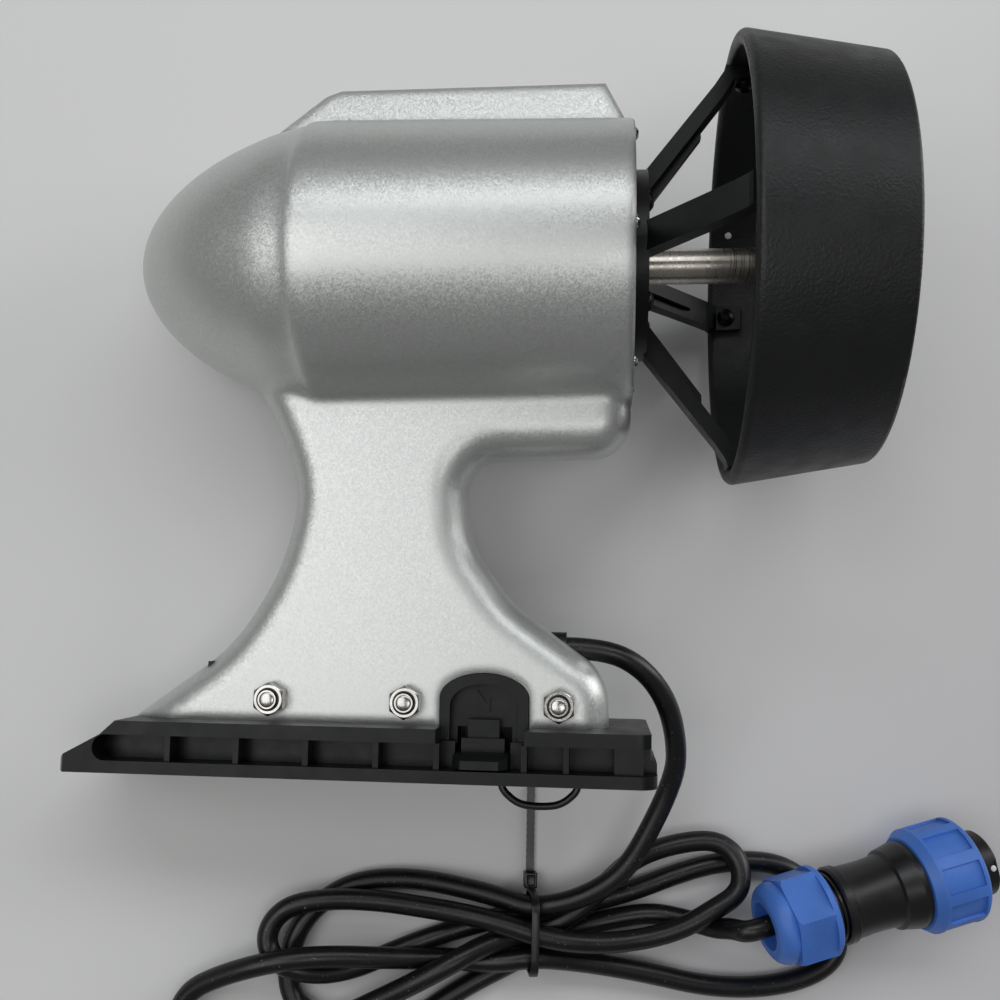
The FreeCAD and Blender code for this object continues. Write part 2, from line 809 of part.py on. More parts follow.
def propeller():
    centre = prop_front_x + prop_hub_length / 2
    hub = cylinder_x(prop_front_x, prop_front_x + prop_hub_length, prop_hub_radius)
    rims = [e for e in hub.Edges if e.BoundBox.XLength < 0.1 and abs(e.CenterOfMass.x - prop_front_x) < 0.1]
    hub = hub.makeFillet(prop_hub_round, rims)
    tip = duct_inner_radius(centre + 7) - blade_tip_gap
    root = prop_hub_radius - 3
    sections = []
    for k in range(5):
        share = k / 4
        chord = blade_chord_root + (blade_chord_tip - blade_chord_root) * math.sin(share * math.pi * 0.62)
        thickness = blade_thickness_root + (blade_thickness_tip - blade_thickness_root) * share
        sections.append(blade_section(root + (tip + 2 - root) * share, chord, thickness, centre))
    blade = Part.makeLoft(sections, True, False).common(cylinder_x(centre - 20, centre + 20, tip))
    blade = blade.cut(cylinder_x(centre - 20, centre + 20, prop_hub_radius - 2))
    wheel = hub
    for k in range(blade_count):
        wheel = wheel.fuse(turn_x(blade, 360 / blade_count * k + blade_start_angle))
    bore = cylinder_x(prop_front_x - 1, prop_front_x + prop_hub_length + 1, shaft_radius + running_gap)
    pin_slot = block(prop_front_x - 1, pin_x() + pin_radius, -pin_half() - 0.1, pin_half() + 0.1,
                     -pin_radius - 0.05, pin_radius + 0.05)
    return wheel.cut([bore, pin_slot])


def pin_half():
    return prop_hub_radius - pin_cover


def propeller_pin():
    return cylinder(V(pin_x(), -pin_half(), 0), UP, 2 * pin_half(), pin_radius - 0.02)


def washer_x():
    return prop_front_x + prop_hub_length


def propeller_washer():
    return ring_x(washer_x(), washer_x() + washer_thickness, shaft_thread_radius + 0.1, prop_nut_flats / 2 + 1)


def propeller_nut():
    seat = V(washer_x() + washer_thickness, 0, 0)
    nut = hexagon(seat, ALONG, prop_nut_flats, prop_nut_height, UP)
    return nut.cut(cylinder(seat - ALONG, ALONG, prop_nut_height + 2, shaft_thread_radius + 0.02))


def base_bottom_y():
    return column_bottom_y - base_height


def base_plan():
    """Plan outline of the base: bulging nose, rounded rear corners."""
    nose = Part.Arc(V(base_front_x + 1, 0, -base_half), V(base_front_x - base_nose_bulge, 0, 0),
                    V(base_front_x + 1, 0, base_half)).toShape()
    c = base_corner
    rear = base_rear_x
    k = c * (1 - math.sqrt(0.5))
    edges = [nose,
             Part.makeLine(V(base_front_x + 1, 0, base_half), V(rear - c, 0, base_half)),
             Part.Arc(V(rear - c, 0, base_half), V(rear - k, 0, base_half - k),
                      V(rear, 0, base_half - c)).toShape(),
             Part.makeLine(V(rear, 0, base_half - c), V(rear, 0, c - base_half)),
             Part.Arc(V(rear, 0, c - base_half), V(rear - k, 0, k - base_half),
                      V(rear - c, 0, -base_half)).toShape(),
             Part.makeLine(V(rear - c, 0, -base_half), V(base_front_x + 1, 0, -base_half))]
    return Part.Wire(edges)


def groove_bar(x0, x1, sign, inset):
    """Bar that stands in one side's groove, set back from the base's face by inset."""
    z = sorted([sign * (base_half - groove_depth - 1), sign * (base_half - inset)])
    return block(x0, x1, base_bottom_y() + lower_flange - 1, column_bottom_y - upper_flange + 1, z[0], z[1])


def fin_base():
    """Slide-in base: two flanges round a web, ribs in the side grooves, a tang and the latch arch."""
    bottom = base_bottom_y()
    plan = Part.Face(base_plan())
    plan.translate(V(0, bottom - 1, 0))
    column = plan.extrude(V(0, base_height + 2, 0))
    front = base_front_x - base_nose_bulge - 2
    step_x = base_rear_x - base_rear_step
    side = [V(front, bottom, -base_half - 1),
            V(base_rear_x + 1, bottom, -base_half - 1),
            V(base_rear_x + 1, bottom + lower_flange + groove_height() * base_step_low, -base_half - 1),
            V(step_x, bottom + lower_flange + groove_height() * base_step_high, -base_half - 1),
            V(step_x, column_bottom_y, -base_half - 1),
            V(rake_top_x, column_bottom_y, -base_half - 1),
            V(rake_top_x - rake_length, column_bottom_y - upper_flange, -base_half - 1),
            V(base_front_x - base_nose_bulge - 0.3, bottom + base_nose_edge, -base_half - 1)]
    body = column.common(prism(side, V(0, 0, 2 * base_half + 2)))
    groove_low = bottom + lower_flange
    groove_high = column_bottom_y - upper_flange
    radius = (groove_high - groove_low) / 2
    for sign in (1, -1):
        z0 = base_half - groove_depth if sign > 0 else -base_half - 1
        groove = block(groove_front_x + radius, base_rear_x + 1, groove_low, groove_high, z0,
                       z0 + groove_depth + 1)
        groove = groove.fuse(cylinder(V(groove_front_x + radius, groove_low + radius, z0), ACROSS,
                                      groove_depth + 1, radius))
        for x in rib_places():
            groove = groove.cut(groove_bar(x - rib_thickness / 2, x + rib_thickness / 2, sign, rib_inset))
        stop_x = step_x - stop_block_gap
        groove = groove.cut(groove_bar(stop_x - stop_block_length, stop_x, sign, stop_block_inset))
        body = body.cut(groove)
    pitch = (base_rear_x - groove_front_x - 2 * pocket_wall) / pocket_count
    for k in range(pocket_count):
        x0 = groove_front_x + 2 * pocket_wall + pitch * k
        body = body.cut(block(x0, x0 + pitch - pocket_wall, bottom - 1, bottom + pocket_depth,
                              -pocket_half, pocket_near_z))
    tang = block(tang_front_x, tang_rear_x, column_bottom_y - 1, column_bottom_y + tang_height, -tang_half,
                 tang_half)
    arch_face = column_half + arch_proud
    arch = arch_prism(arch_half, arch_straight, arch_top_y, column_bottom_y - upper_flange, tang_half - 0.5,
                      arch_face)
    body = body.fuse([tang, arch])
    recess = arch_prism(arch_half - arch_wall, arch_straight - arch_wall / 4, arch_top_y - arch_wall,
                        column_bottom_y - upper_flange - 1, recess_floor_z(), arch_face + 1)
    notch = block(latch_x - arch_half + 0.4, latch_x + arch_half - 0.4, column_bottom_y - upper_flange - 0.1,
                  column_bottom_y + 0.1, arch_face, base_half + 1)
    inner_z = latch_inner_z - latch_play
    room_top = latch_tab_y + latch_tab_height + latch_travel + spring_room
    latch_room = block(latch_x - latch_half - latch_play, latch_x + latch_half + latch_play,
                       groove_low, room_top, inner_z, base_half + 1)
    way_out = cylinder(V(channel_x, cable_exit_y, cable_exit_z), ALONG, 60, gland_radius + 1.0)
    hole_radius = loop_radius + loop_hole_play
    loop_holes = [cylinder(V(x, bottom - 1, loop_z), UP, loop_depth + 1 + seat_gap, hole_radius)
                  for x in (loop_from_x, loop_to_x)]
    body = body.cut([recess, notch, latch_room, way_out] + loop_holes)
    body = body.cut(bolt_holes())
    return body.fuse(arrow_mark()).removeSplitter()


def groove_height():
    return base_height - upper_flange - lower_flange


def rib_places():
    places = [rib_first_x + rib_pitch * k for k in range(rib_count)]
    places.append(latch_x - arch_half + 0.5)
    places.append(latch_x + arch_half - 0.5)
    places.append(rear_rib_x)
    return places


def arrow_mark():
    """Plain raised arrow on the recess floor that shows which way the latch is pulled."""
    z0 = recess_floor_z() - 0.2
    tip = V(latch_x + arrow_tip_offset, arrow_tip_y, z0)
    angle = math.radians(arrow_angle)
    along = V(math.cos(angle), math.sin(angle), 0)
    side = V(-along.y, along.x, 0)
    points = [tip,
              tip - along * arrow_head_length + side * arrow_head_half,
              tip - along * arrow_neck + side * arrow_shaft_half,
              tip - along * arrow_length + side * arrow_shaft_half,
              tip - along * arrow_length - side * arrow_shaft_half,
              tip - along * arrow_neck - side * arrow_shaft_half,
              tip - along * arrow_head_length - side * arrow_head_half]
    return prism(points, V(0, 0, arrow_height + 0.2))


def recess_floor_z():
    return column_half + arch_proud - recess_depth


def latch_slider():
    """Finger tab in the groove, with the flat stem that runs up in the recess."""
    y0 = latch_tab_y
    y1 = latch_tab_y + latch_tab_height
    x0 = latch_x - latch_half
    x1 = latch_x + latch_half
    face = base_half + latch_proud
    c = latch_corner
    points = [V(x0, y0, latch_inner_z), V(x1, y0, latch_inner_z), V(x1, y0, face - c),
              V(x1 - c, y0, face), V(x0 + c, y0, face), V(x0, y0, face - c)]
    tab = prism(points, V(0, latch_tab_height, 0))
    slope = prism([V(x0 - 1, y1 + 0.01, face - latch_slope_width), V(x0 - 1, y1 + 0.01, face + 0.1),
                   V(x0 - 1, y1 - latch_slope_height, face + 0.1)], V(2 * latch_half + 2, 0, 0))
    stem_z = recess_floor_z() + arrow_height + latch_play
    stem = block(latch_x - latch_stem_half, latch_x + latch_stem_half, y1 - 0.5, latch_stem_top_y,
                 stem_z, stem_z + latch_stem_thickness)
    step_half = latch_stem_half + latch_step_width
    step = block(latch_x - step_half, latch_x + step_half, y1 - 0.5, y1 + latch_step_height,
                 stem_z, stem_z + latch_stem_thickness + latch_step_width)
    seat = cylinder(V(latch_x, y1 - spring_seat, spring_z()), UP, 2 * spring_seat,
                    spring_radius + spring_wire + spring_play)
    return tab.cut(slope).fuse([stem, step]).cut(seat).removeSplitter()


def spring_z():
    return latch_inner_z + spring_radius + spring_wire + 0.8


def latch_spring():
    y0 = latch_tab_y + latch_tab_height - spring_seat
    y1 = latch_tab_y + latch_tab_height + latch_travel + spring_room
    length = y1 - y0 - 2 * spring_wire - 0.04
    pitch = length / spring_coils
    helix = Part.makeHelix(pitch, length, spring_radius)
    section = Part.Wire([Part.makeCircle(spring_wire, V(spring_radius, 0, 0), V(0, 1, 0))])
    coil = Part.Wire(helix).makePipeShell([section], True, True)
    coil.rotate(V(0, 0, 0), ALONG, -90)
    coil.translate(V(latch_x, y0 + spring_wire + 0.02, spring_z()))
    return coil


def cross_bolts():
    bolts = []
    length = 2 * column_half + bolt_tip
    for x in bolt_xs:
        seat = V(x, bolt_y, -column_half)
        bolts.append(pan_screw(seat, ACROSS, bolt_radius, length, bolt_head_radius, bolt_head_height))
    return Part.makeCompound(bolts)


def cross_nuts():
    nuts = []
    for x in bolt_xs:
        seat = V(x, bolt_y, column_half)
        nut = hexagon(seat, ACROSS, nut_across_flats, nut_height, UP)
        nuts.append(nut.cut(cylinder(seat - ACROSS, ACROSS, nut_height + 2, bolt_radius + 0.02)))
    return Part.makeCompound(nuts)


def cable_gland():
    start = V(gland_front_x, cable_exit_y, cable_exit_z)
    length = gland_rear_x - gland_front_x
    return cylinder(start, ALONG, length, gland_radius).cut(cylinder(start - ALONG, ALONG, length + 2,
                                                                    cable_radius + seat_gap))


def tube(points, radius, radii=None):
    """Round bar along straight runs and tangent arcs."""
    edges, used = rounded_path(points, radii)
    first = points[1] - points[0]
    first.normalize()
    section = Part.Wire([Part.makeCircle(radius, points[0], first)])
    path = Part.Wire(edges)
    pipe = path.makePipeShell([section], True, False)
    return pipe, path.Length, used


def motor_leads():
    """Three insulated leads from the winding, down the channel, to the cable's cut end."""
    leads = []
    for offset in lead_offsets:
        top = V(channel_x, -(bore_radius - stator_back) + 0.4, cable_exit_z) + offset
        bend = V(channel_x, cable_exit_y, cable_exit_z) + V(offset.x, -offset.x, offset.z)
        end = V(cable_start_x - 0.4, bend.y, bend.z)
        leads.append(tube([top, bend, end], lead_radius, [lead_bend_radius])[0])
    return Part.makeCompound(leads)


def pull_loop():
    """Thin loop with both ends in the underside of the base."""
    top = base_bottom_y() + loop_depth
    low = loop_low_y
    span = loop_to_x - loop_from_x
    neck = base_bottom_y() - loop_neck
    points = [V(loop_from_x, top, loop_z), V(loop_from_x + loop_splay, neck, loop_z),
              V(loop_from_x + loop_shoulder * span, low, loop_z),
              V(loop_from_x + span / 2, low - loop_sag, loop_z),
              V(loop_to_x - loop_shoulder * span, low, loop_z), V(loop_to_x - loop_splay, neck, loop_z),
              V(loop_to_x, top, loop_z)]
    return tube(points, loop_radius)[0]


def turned(points):
    """Solid of revolution about the X axis; each point is a place on the axis and a radius."""
    outline = [V(points[0][0], 0, 0)] + [V(x, r, 0) for x, r in points] + [V(points[-1][0], 0, 0)]
    return Part.Face(polygon(outline)).revolve(V(0, 0, 0), ALONG, 360)


def gland_nut():
    """Hexagon nut with a domed back that squeezes the seal onto the cable."""
    corner = gland_nut_flats / math.sqrt(3)
    collar_x = gland_nut_end - gland_collar
    points = []
    for k in range(6):
        angle = math.radians(60 * k + gland_nut_turn)
        points.append(V(gland_dome, corner * math.sin(angle), corner * math.cos(angle)))
    hexagonal = prism(points, ALONG * (collar_x + 0.3 - gland_dome))
    envelope = turned([(gland_dome, corner - 0.9), (gland_dome + 0.9, corner + 0.1),
                       (collar_x + 0.3, corner + 0.1)])
    back = Part.Arc(V(0, gland_back_radius, 0),
                    V(0.32 * gland_dome, gland_back_radius + 0.78 * (gland_dome_radius - gland_back_radius), 0),
                    V(gland_dome, gland_dome_radius, 0)).toShape()
    inner = Part.makePolygon([V(gland_dome, gland_dome_radius, 0), V(gland_dome + 0.5, gland_dome_radius, 0),
                              V(gland_dome + 0.5, 0, 0), V(0, 0, 0), V(0, gland_back_radius, 0)])
    dome = Part.Face(Part.Wire([back] + inner.Edges)).revolve(V(0, 0, 0), ALONG, 360)
    collar = turned([(collar_x, gland_collar_radius), (gland_nut_end - gland_edge, gland_collar_radius),
                     (gland_nut_end, gland_collar_radius - gland_edge)])
    body = hexagonal.common(envelope).fuse([dome, collar])
    return body.cut([cylinder_x(-1, gland_mouth_depth, gland_mouth_radius),
                     cylinder_x(-1, gland_nut_end, cable_radius + 0.3),
                     cylinder_x(gland_dome, gland_nut_end + 1, thread_radius + seat_gap)])


def gland_seal():
    return ring_x(gland_dome + seat_gap, gland_nut_end - gland_thread_length - 0.2, cable_radius + seat_gap,
                  thread_radius - 0.3)


def plug_body():
    """Plug barrel: threaded tail, collar, waisted grip, flare and the sleeve that carries the ring."""
    tail_x = gland_nut_end - gland_thread_length
    body = cylinder_x(tail_x, gland_nut_end + 0.3, thread_radius)
    body = body.fuse(cylinder_x(gland_nut_end + 0.3, barrel_collar_x, thread_radius - thread_height))
    for k in range(2):
        x = gland_nut_end + 0.9 + 1.3 * k
        body = body.fuse(cylinder_x(x, x + 0.6, thread_radius + thread_height))
    waist_x = (barrel_x + barrel_step_x) / 2
    first = Part.makePolygon([V(barrel_collar_x, 0, 0), V(barrel_collar_x, barrel_collar_radius - 0.6, 0),
                              V(barrel_collar_x + 0.6, barrel_collar_radius, 0),
                              V(barrel_x - 0.6, barrel_collar_radius, 0), V(barrel_x, barrel_radius, 0)])
    arc = Part.Arc(V(barrel_x, barrel_radius, 0), V(waist_x, barrel_waist_radius, 0),
                   V(barrel_step_x, barrel_radius, 0)).toShape()
    last = Part.makePolygon([V(barrel_step_x, barrel_radius, 0), V(barrel_step_x + 0.6, barrel_step_radius, 0),
                             V(barrel_flare_x, barrel_flare_radius, 0), V(sleeve_x, barrel_flare_radius, 0),
                             V(sleeve_x, sleeve_radius, 0), V(ring_front_x - 1.5, sleeve_radius, 0),
                             V(ring_front_x - 1.5, 0, 0), V(barrel_collar_x, 0, 0)])
    barrel = Part.Face(Part.Wire(first.Edges + [arc] + last.Edges)).revolve(V(0, 0, 0), ALONG, 360)
    return body.fuse(barrel).cut([cylinder_x(tail_x - 1, sleeve_x + 1, barrel_bore_radius),
                                  cylinder_x(sleeve_x, ring_front_x, nose_root_radius + seat_gap),
                                  ring_x(o_ring_x - 0.1, o_ring_x + o_ring_width + 0.1,
                                         sleeve_radius - o_ring_depth, sleeve_radius + 1)])


def coupling_ring():
    """Ribbed ring that turns on the sleeve."""
    start = sleeve_x + 0.4
    outer = turned([(start, ring_rim_radius), (start + ring_rim_length, ring_radius),
                    (ring_front_x - ring_edge, ring_radius), (ring_front_x, ring_radius - ring_edge)])
    step = 360 / ring_rib_count
    reach = 2 * ring_radius
    half = math.radians(step / 2) - ring_rib_width / 2 / ring_radius
    x0 = start + ring_rim_length + ring_edge
    x1 = ring_front_x - 2 * ring_edge
    wedge = prism([V(x0, 0, 0), V(x0, reach * math.cos(half), -reach * math.sin(half)),
                   V(x0, reach * math.cos(half), reach * math.sin(half))], V(x1 - x0, 0, 0))
    valley = ring_x(x0, x1, ring_radius - ring_valley, ring_radius + 1).common(wedge)
    valleys = [turn_x(valley, step * (k + 0.5) + ring_rib_turn) for k in range(ring_rib_count)]
    return outer.cut(valleys + [cylinder_x(start - 1, ring_front_x + 1, sleeve_radius + ring_play)])


def plug_o_ring():
    return ring_x(o_ring_x, o_ring_x + o_ring_width, sleeve_radius - o_ring_depth + seat_gap,
                  sleeve_radius - seat_gap)


def plug_nose():
    """Front part of the plug with its keyway and the mouth that holds the contacts."""
    root_x = ring_front_x + 0.4
    body = turned([(sleeve_x + 1.2, nose_root_radius), (root_x, nose_root_radius), (root_x, nose_radius),
                   (plug_length - nose_edge, nose_radius), (plug_length, nose_radius - nose_edge)])
    key = block(plug_length - nose_key_length, plug_length + 1, nose_radius - nose_key_depth, nose_radius + 1,
                -nose_key_width / 2, nose_key_width / 2)
    cuts = [cylinder_x(plug_length - mouth_depth, plug_length + 1, mouth_radius), turn_x(key, nose_key_turn)]
    for k in range(contact_count):
        hole = cylinder(V(sleeve_x, contact_circle, 0), ALONG, plug_length, contact_radius + 0.02)
        cuts.append(turn_x(hole, 360 / contact_count * k))
    return body.cut(cuts)


def plug_contacts():
    start = sleeve_x + 1.2
    pin = cylinder(V(start, contact_circle, 0), ALONG, plug_length - 2.5 - start, contact_radius)
    tips = [e for e in pin.Edges if e.CenterOfMass.x > plug_length - 3 and e.BoundBox.XLength < 0.1]
    pin = pin.makeFillet(0.5, tips)
    return Part.makeCompound([turn_x(pin, 360 / contact_count * k) for k in range(contact_count)])


def lay_plug(shape):
    """Move a plug piece from its own axis to its place on the table."""
    ahead = V(plug_ahead)
    ahead.normalize()
    side = V(0, 0, 1).cross(ahead)
    side.normalize()
    top = ahead.cross(side)
    turn = FreeCAD.Matrix(ahead.x, side.x, top.x, plug_rear.x, ahead.y, side.y, top.y, plug_rear.y,
                          ahead.z, side.z, top.z, plug_rear.z, 0, 0, 0, 1)
    piece = shape.copy()
    piece.Placement = FreeCAD.Placement(turn).multiply(piece.Placement)
    return piece


def rounded_loop(points):
    """Closed outline: straight sides joined by tangent arcs."""
    count = len(points)
    middle = (points[0] + points[-1]) * 0.5
    edges, used = rounded_path([middle] + points + [middle])
    return Part.Wire(edges), min(used)


def cable_hank():
    """Outer shape of the flattened bundle of loops, with the waist where the tie grips it."""
    outline, least = rounded_loop([V(x, y, table_gap) for x, y in hank_outline])
    face = Part.Face(outline)
    plate = face.extrude(V(0, 0, hank_low - table_gap))
    heap = face.extrude(V(0, 0, hank_high - table_gap))
    heap = heap.common(block(hank_high_from, hank_high_to, -220, -100, 0, hank_high + 1))
    groove_half = tie_width / 2 + 0.3
    groove = block(tie_x - groove_half, tie_x + groove_half, -180, -130, -1, hank_high + 1)
    core = block(tie_x - groove_half - 1, tie_x + groove_half + 1, tie_from_y + seat_gap, tie_to_y - seat_gap,
                 tie_low + seat_gap, tie_high - seat_gap)
    return plate.fuse(heap).cut(groove.cut(core)).removeSplitter()


def cable_tie():
    """Flat band round the bundle with its square head and the long tail under the base."""
    x0 = tie_x - tie_width / 2
    x1 = tie_x + tie_width / 2
    w = tie_wall
    band = block(x0, x1, tie_from_y - w, tie_to_y + w, tie_low - w, tie_high + w)
    band = band.cut(block(x0 - 1, x1 + 1, tie_from_y, tie_to_y, tie_low, tie_high))
    head_y = tie_to_y + w
    head = block(tie_x - tie_head_width / 2, tie_x + tie_head_width / 2, head_y - 0.2,
                 head_y + tie_head_length, tie_low - w, tie_low - w + tie_head_height)
    tail = block(x0, x1, head_y, tie_tail_y, tie_low - w, tie_low - w + tie_tail_height)
    return band.fuse([head, tail]).removeSplitter()


def cable(placement):
    """Cable from inside the gland, out of the column and down past the base to the hank."""
    start = placement.multVec(V(cable_start_x, cable_exit_y, cable_exit_z))
    first = placement.multVec(V(cable_bend_x, cable_exit_y, cable_exit_z))
    return tube([start, first] + cable_run, cable_radius)


def plug_lead():
    """Cable end that rises from the hank into the gland nut."""
    ahead = V(plug_ahead)
    ahead.normalize()
    point = plug_rear - ahead * lead_straight
    points = [plug_rear + ahead * lead_inside, point]
    for length, yaw, pitch in lead_turns:
        yaw = math.radians(yaw)
        pitch = math.radians(pitch)
        point = point - V(math.cos(pitch) * math.cos(yaw), math.cos(pitch) * math.sin(yaw),
                          math.sin(pitch)) * length
        points.append(point)
    points.reverse()
    return tube(points, cable_radius)


def build_parts():
    parts["housing"] = housing()
    parts["rear_cover"] = rear_cover()
    parts["cover_sealing_ring"] = cover_ring()
    parts["cover_screws"] = cover_screws()
    parts["stator_core"] = stator_core()
    parts["stator_windings"] = stator_windings()
    parts["motor_leads"] = motor_leads()
    parts["rotor_core"] = rotor_core()
    parts["rotor_magnets"] = rotor_magnets()
    parts["shaft"] = shaft()
    rear = bearing(-cover_flange - cover_spigot)
    front = bearing(-bore_depth - bearing_width)
    for place, pieces in (("rear", rear), ("front", front)):
        for kind, piece in zip(("outer_ring", "inner_ring", "balls"), pieces):
            parts[place + "_bearing_" + kind] = piece
    parts["shaft_seal"] = shaft_seal()
    parts["spider"] = spider()
    parts["spider_screws"] = spider_screws()
    parts["duct"] = duct()
    parts["duct_screws"] = duct_screws()
    parts["propeller"] = propeller()
    parts["propeller_pin"] = propeller_pin()
    parts["propeller_washer"] = propeller_washer()
    parts["propeller_nut"] = propeller_nut()
    parts["fin_base"] = fin_base()
    parts["cross_bolts"] = cross_bolts()
    parts["cross_nuts"] = cross_nuts()
    parts["latch_slider"] = latch_slider()
    parts["latch_spring"] = latch_spring()
    parts["cable_gland"] = cable_gland()
    parts["pull_loop"] = pull_loop()


def settle():
    """Downward direction of the thruster lying on its side. It rests on the duct's front rim, on the
    pod behind the nose and on the far front corner of the base."""
    corner = V(base_front_x, base_bottom_y(), -base_half)
    down = V(-0.17, -0.07, -0.98)
    for _ in range(30):
        fall = math.hypot(down.y, down.z)
        across = V(0, down.y / fall, down.z / fall)
        rim = ALONG * (duct_front_x + duct_lip_round / 2) + across * duct_front_radius
        spans = [pod_widest_x - 0.25 * k for k in range(200)]
        x = max(spans, key=lambda place: place * down.x + pod_outline_radius(place) * fall)
        belly = ALONG * x + across * pod_outline_radius(x)
        down = (belly - rim).cross(corner - rim)
        down.normalize()
        if down.z > 0:
            down = down * -1
    return down


def lie_down(pieces):
    """Lay the pieces on the table and move the middle of their footprint to the origin."""
    up = settle() * -1
    ahead = ALONG - up * ALONG.dot(up)
    ahead.normalize()
    aside = up.cross(ahead)
    turn = FreeCAD.Matrix(ahead.x, ahead.y, ahead.z, 0, aside.x, aside.y, aside.z, 0,
                          up.x, up.y, up.z, 0, 0, 0, 0, 1)
    placement = FreeCAD.Placement(turn)
    turned = {}
    for name, piece in pieces.items():
        piece = piece.copy()
        piece.Placement = placement.multiply(piece.Placement)
        turned[name] = piece
    box = Part.makeCompound(list(turned.values())).optimalBoundingBox(False, False)
    shift = V(-(box.XMin + box.XMax) / 2, -(box.YMin + box.YMax) / 2, -box.ZMin)
    for piece in turned.values():
        piece.translate(shift)
    placement.Base = shift
    return turned, placement


def cable_parts(placement):
    """Everything that lies on the table beside the thruster."""
    run, length, radii = cable(placement)
    print("cable", round(length, 1), "bends", [round(r, 1) for r in radii], "volume ratio",
          round(run.Volume / (math.pi * cable_radius ** 2 * length), 4))
    lead, lead_length, lead_radii = plug_lead()
    print("cable_plug_lead", round(lead_length, 1), "bends", [round(r, 1) for r in lead_radii],
          "volume ratio", round(lead.Volume / (math.pi * cable_radius ** 2 * lead_length), 4))
    beside = {"cable": run, "cable_plug_lead": lead, "cable_hank": cable_hank(), "cable_tie": cable_tie()}
    plug = {"gland_nut": gland_nut(), "gland_seal": gland_seal(), "plug_body": plug_body(),
            "coupling_ring": coupling_ring(), "plug_o_ring": plug_o_ring(), "plug_nose": plug_nose(),
            "plug_contacts": plug_contacts()}
    for name, piece in plug.items():
        beside[name] = lay_plug(piece)
    return beside


build_parts()
laid, placement = lie_down(parts)
laid.update(cable_parts(placement))
print("placement", [round(v, 6) for v in placement.toMatrix().A])
os.makedirs("parts", exist_ok=True)
for name, shape in laid.items():
    low = shape.optimalBoundingBox(False, False).ZMin
    print(name, shape.isValid(), len(shape.Solids), round(shape.Volume, 1), round(low, 2))
    shape.exportStep("parts/" + name + ".step")
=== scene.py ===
"""Studio scene of an electric fin thruster with its bundled cable and round plug.

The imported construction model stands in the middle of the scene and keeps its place. This script
gives every one of its solids a finish, models the soft and fine pieces round it, and sets up the
table, the lamps and the camera. Sizes are in metres, apart from those of the pieces placed along
the thruster's own axes, which are in millimetres, as their classes say.
"""

import json
import logging
import math
from dataclasses import dataclass, field
from enum import Enum

import bpy
from mathutils import Euler, Matrix, Vector


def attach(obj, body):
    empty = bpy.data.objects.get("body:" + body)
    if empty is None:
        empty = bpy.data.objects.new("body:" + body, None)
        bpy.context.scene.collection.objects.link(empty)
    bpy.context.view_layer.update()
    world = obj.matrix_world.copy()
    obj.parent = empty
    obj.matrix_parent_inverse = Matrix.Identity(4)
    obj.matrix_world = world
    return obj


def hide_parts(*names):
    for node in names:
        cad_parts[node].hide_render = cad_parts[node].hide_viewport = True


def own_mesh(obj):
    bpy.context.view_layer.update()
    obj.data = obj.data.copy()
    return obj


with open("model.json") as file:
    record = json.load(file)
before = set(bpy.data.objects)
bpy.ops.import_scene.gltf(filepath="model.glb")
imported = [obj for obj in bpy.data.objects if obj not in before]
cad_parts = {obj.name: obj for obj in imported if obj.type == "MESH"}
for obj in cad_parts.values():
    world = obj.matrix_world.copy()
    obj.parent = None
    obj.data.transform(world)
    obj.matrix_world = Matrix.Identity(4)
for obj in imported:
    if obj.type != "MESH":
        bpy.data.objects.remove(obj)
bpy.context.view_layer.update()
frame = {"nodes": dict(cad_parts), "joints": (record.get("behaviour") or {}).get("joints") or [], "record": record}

logging.basicConfig(level=logging.INFO, format="%(name)s: %(message)s")
log = logging.getLogger("thruster")

Colour = tuple[float, float, float]
Place = tuple[float, float, float]

MILLIMETRE = 0.001


class Grain(Enum):
    """What the surface of a moulded part looks like close up.

    Satin and rubber share one pattern and differ by its size and depth.
    """

    SATIN = "satin"
    LEATHER = "leather"
    RUBBER = "rubber"


class Working(Enum):
    """How a bare metal part was made."""

    TURNED = "turned"
    PLATED = "plated"
    WOUND = "wound"


